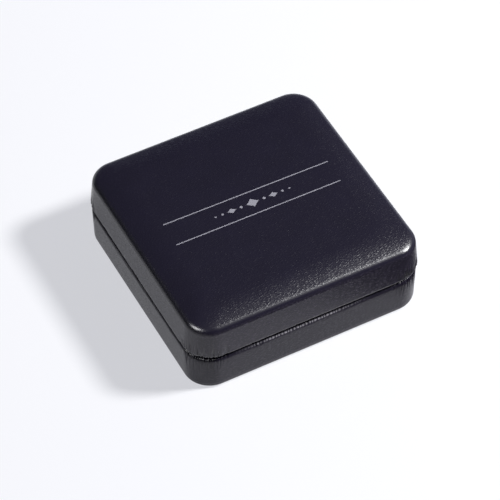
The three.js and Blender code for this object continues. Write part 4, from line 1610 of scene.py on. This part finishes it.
@dataclass
class Studio:
    """A glowing table in a dim room, with a key lamp, two lamps for highlights, a dark card and a pale wall."""

    camera_azimuth: float = -28.04
    camera_elevation: float = 49.43
    camera_distance: float = 0.6506
    aim_height: float = 9.65 * MM
    focal_mm: float = 201.36
    sensor_mm: float = 36.0
    shift_right: float = 0.000576
    shift_up: float = -0.003414
    floor_size: float = 6.0
    floor_colour: str = "F8F8FA"
    table_glow: float = 0.63
    glow_colour: str = "F8F9FF"
    room: float = 0.07
    room_colour: str = "E6ECFF"
    card_half: float = 0.3
    card_height: float = 0.2 * MM
    card_colour: str = "1A1A1C"
    card_start: float = 0.0405
    card_end: float = 0.0475
    card_side: tuple[float, float, float] = (0.62, -0.785, 0.0)
    card_strength: float = 0.97
    wall_glow: float = 1.1
    wall_side: tuple[float, float, float] = (0.45, 0.89, 0.0)
    wall_heights: tuple[float, float] = (0.10, 0.42)
    wall_spread: tuple[float, float] = (0.35, 0.85)
    lamps: tuple[Lamp, ...] = (
        Lamp("key_lamp", (0.642, -0.278, 0.714), 0.9, 0.16, 11.8),
        Lamp("right_softbox", (0.55, -0.07, 0.83), 0.8, 0.29, 7.4, glints_only=True),
        Lamp("left_lamp", (-0.66, -0.04, 0.75), 0.8, 0.38, 7.4, glints_only=True),
    )

    def add_camera(self) -> None:
        """Sets the camera where the case is seen from the front left and above."""
        a, e = math.radians(self.camera_azimuth), math.radians(self.camera_elevation)
        back = Vector((math.sin(a) * math.cos(e), -math.cos(a) * math.cos(e), math.sin(e)))
        right = (-back).cross(Vector((0, 0, 1))).normalized()
        up = right.cross(-back)
        data = bpy.data.cameras.new("camera")
        data.lens = self.focal_mm
        data.sensor_width = self.sensor_mm
        data.clip_start = 0.01
        data.clip_end = 50
        camera = bpy.data.objects.new("camera", data)
        aim = Vector((0, 0, self.aim_height)) - right * self.shift_right + up * self.shift_up
        camera.location = aim + back * self.camera_distance
        camera.rotation_mode = "QUATERNION"
        camera.rotation_quaternion = (-back).to_track_quat("-Z", "Y")
        bpy.context.scene.collection.objects.link(camera)
        bpy.context.scene.camera = camera

    def add_floor(self) -> None:
        """Adds the white table top, a light table that glows a little, so that it stays white near the case."""
        floor = flat_square("table_top", self.floor_size / 2, 0.0)
        material = bpy.data.materials.new("white_light_table")
        add = bare_tree(material)
        sheet = add("ShaderNodeBsdfDiffuse", {"Color": self.floor_colour})
        glow = add("ShaderNodeEmission", {"Color": self.glow_colour})
        mixed = add("ShaderNodeMixShader", {0: self.table_glow, 1: sheet.outputs[0], 2: glow.outputs[0]})
        add("ShaderNodeOutputMaterial", {"Surface": mixed.outputs[0]})
        floor.data.materials.append(material)

    def add_dark_card(self) -> None:
        """Adds a dark card on the table to the front right, which only the gloss of the case shows.

        Its cover grows as a smooth step of the distance from the case's middle towards the front right.
        """
        card = flat_square("dark_card", self.card_half, self.card_height)
        material, add, place = new_material("black_studio_card")
        side = tuple(v * MM for v in self.card_side)
        out = add("ShaderNodeVectorMath", {0: place, 1: side}, operation="DOT_PRODUCT").outputs["Value"]
        span = {"Value": out, "From Min": self.card_start, "From Max": self.card_end}
        grow = add("ShaderNodeMapRange", span, interpolation_type="SMOOTHSTEP").outputs[0]
        glossy = add("ShaderNodeLightPath").outputs["Is Glossy Ray"]
        cover = add("ShaderNodeMath", {0: grow, 1: glossy}, operation="MULTIPLY").outputs[0]
        share = add("ShaderNodeMath", {0: cover, 1: self.card_strength}, operation="MULTIPLY").outputs[0]
        clear = add("ShaderNodeBsdfTransparent")
        black = add("ShaderNodeBsdfDiffuse", {"Color": self.card_colour})
        mixed = add("ShaderNodeMixShader", {0: share, 1: clear.outputs[0], 2: black.outputs[0]})
        add("ShaderNodeOutputMaterial", {"Surface": mixed.outputs[0]})
        card.data.materials.append(material)

    def add_world(self) -> None:
        """Adds the surroundings: white to the camera, and to all else a dim room with a pale wall behind.

        The wall's light is its glow times a smooth step down between 6 and 25 degrees above the horizon,
        times a smooth step of how near the direction is to the back and a little to the right.
        """
        world = bpy.data.worlds.new("studio")
        bpy.context.scene.world = world
        add = bare_tree(world)
        towards = add("ShaderNodeTexCoord").outputs["Generated"]
        height = add("ShaderNodeSeparateXYZ", {0: towards}).outputs["Z"]
        facing = add("ShaderNodeVectorMath", {0: towards, 1: self.wall_side}, operation="DOT_PRODUCT").outputs["Value"]
        (bottom, top), (far, near) = self.wall_heights, self.wall_spread
        falling = {"Value": height, "From Min": bottom, "From Max": top, "To Min": 1.0, "To Max": 0.0}
        low = add("ShaderNodeMapRange", falling, interpolation_type="SMOOTHSTEP").outputs[0]
        nearing = {"Value": facing, "From Min": far, "From Max": near}
        behind = add("ShaderNodeMapRange", nearing, interpolation_type="SMOOTHSTEP").outputs[0]
        wall = add("ShaderNodeMath", {0: low, 1: behind}, operation="MULTIPLY").outputs[0]
        strength = add("ShaderNodeMath", {0: wall, 1: self.wall_glow, 2: self.room}, operation="MULTIPLY_ADD")
        room = add("ShaderNodeBackground", {"Color": self.room_colour, "Strength": strength.outputs[0]})
        white = add("ShaderNodeBackground", {"Color": "FFFFFF", "Strength": 1.0})
        seen = add("ShaderNodeLightPath").outputs["Is Camera Ray"]
        mixed = add("ShaderNodeMixShader", {0: seen, 1: room.outputs[0], 2: white.outputs[0]})
        add("ShaderNodeOutputWorld", {"Surface": mixed.outputs[0]})

    def make(self) -> None:
        """Builds the whole studio."""
        self.add_camera()
        self.add_floor()
        self.add_dark_card()
        self.add_world()
        for lamp in self.lamps:
            lamp.make()
        bpy.context.scene.view_settings.view_transform = "Standard"


def dress_node(node: str, material: bpy.types.Material) -> bpy.types.Object:
    """Gives a CAD node a better material.

    Args:
        node: the node's name.
        material: its finish.

    Returns:
        The node's object.
    """
    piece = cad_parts[node]
    piece.data.materials.clear()
    piece.data.materials.append(material)
    return piece


def report(*pieces: bpy.types.Object) -> None:
    """Logs each finished piece with its count of faces."""
    for piece in pieces:
        LOG.info("built %s: %d faces", piece.name, len(piece.data.polygons))


def main() -> None:
    """Builds the case piece by piece and reports each one."""
    logging.basicConfig(level=logging.INFO, format="%(name)s: %(message)s")
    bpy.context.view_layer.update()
    lid_low, lid_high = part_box("lid_leatherette")
    base_low, base_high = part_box("base_leatherette")
    Studio().make()
    plan = CasePlan(half_x=(lid_high[0] - lid_low[0]) / 2, half_y=(lid_high[1] - lid_low[1]) / 2)

    lid = Covering(
        half=Half.LID,
        plan=plan,
        rim_z=lid_low[2],
        flat_z=lid_high[2],
        edge_inset=0.63 * MM,
        rim_inset=0.0,
        edge_radius=1.8 * MM,
        crown_drop=0.7 * MM,
        side_lift=0.2 * MM,
        # A painted highlight line just above the lower rim.
        painted_highlight_share=0.16,
    )
    report(lid.make("lid_covering", "lid_leatherette", Body.LID, Leatherette().make()))
    base = Covering(
        half=Half.BASE,
        plan=plan,
        rim_z=base_high[2],
        flat_z=base_low[2],
        edge_inset=0.44 * MM,
        rim_inset=0.25 * MM,
        edge_radius=1.1 * MM,
        front_lift=0.4 * MM,
        side_lift=0.42 * MM,
        wrinkle_depth=0.05 * MM,
        # Painted glint dashes on the front rim, and a painted highlight line near the bottom edge.
        painted_dash_share=0.9,
        painted_highlight_line=8.95 * MM,
        painted_highlight_share=0.2,
        pleats=Pleats(seed=11, depth=0.2 * MM, reach=6.5 * MM),
    )
    # The same leatherette for the base, with lower gloss and darker colours that paint shade on the base walls.
    modified = Leatherette(name="pvc_leatherette_painted_darker_base", gloss=0.24, crest_highlight_colour="2B2834", colour="14111F")
    report(base.make("base_covering", "base_leatherette", Body.BASE, modified.make()))
    report(Collar(plan).make(CoatedPaper().make()))
    foil = PlainSheet("hot_stamped_grey_foil", "92919C", "86858F", 0.5, 0.5, 0.001).make()
    report(*FoilStamp().make(lid.flat_z, foil))

    satin_low, satin_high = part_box("lining_satin")
    pad = SatinPad(plan=plan, inset=plan.half_x - satin_high[0], lowest=satin_low[2], back=satin_high[2])
    report(pad.make(Satin().make()))
    velour_low, velour_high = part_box("insert_velour")
    report(VelourInsert(plan=plan, top=velour_high[2], skirt=velour_low[2]).make(Velour().make()))
    pin_low, pin_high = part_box("hinge_pin")
    hinge = SnapHinge(axis_y=(pin_low[1] + pin_high[1]) / 2, axis_z=(pin_low[2] + pin_high[2]) / 2)
    nickel = PlatedSteel("nickel_plated_strip", "DAD8D4").make()
    spring = PlatedSteel("tempered_spring_steel", "8D8B8C", roughness=0.3).make()
    brass = PlatedSteel("brass_rivet_wire", "C8A45A", roughness=0.25).make()
    report(*hinge.make(nickel, spring, brass))

    stocks = (
        (PlainSheet("moulded_polystyrene", "3A3A3C", "313133", 0.5, 3.0, 0.02), ("base_shell", "lid_shell")),
        (
            PlainSheet("closed_cell_foam", "55555A", "4A4A50", 0.95, 0.3, 0.06),
            ("insert_block", "lining_foam", "lid_wadding"),
        ),
        (PlainSheet("lining_card", "B9AD98", "A89C86", 0.9, 0.4, 0.02), ("lining_board",)),
    )
    for stock, nodes in stocks:
        material = stock.make()
        report(*(dress_node(node, material) for node in nodes))


if __name__ == "__main__":
    main()
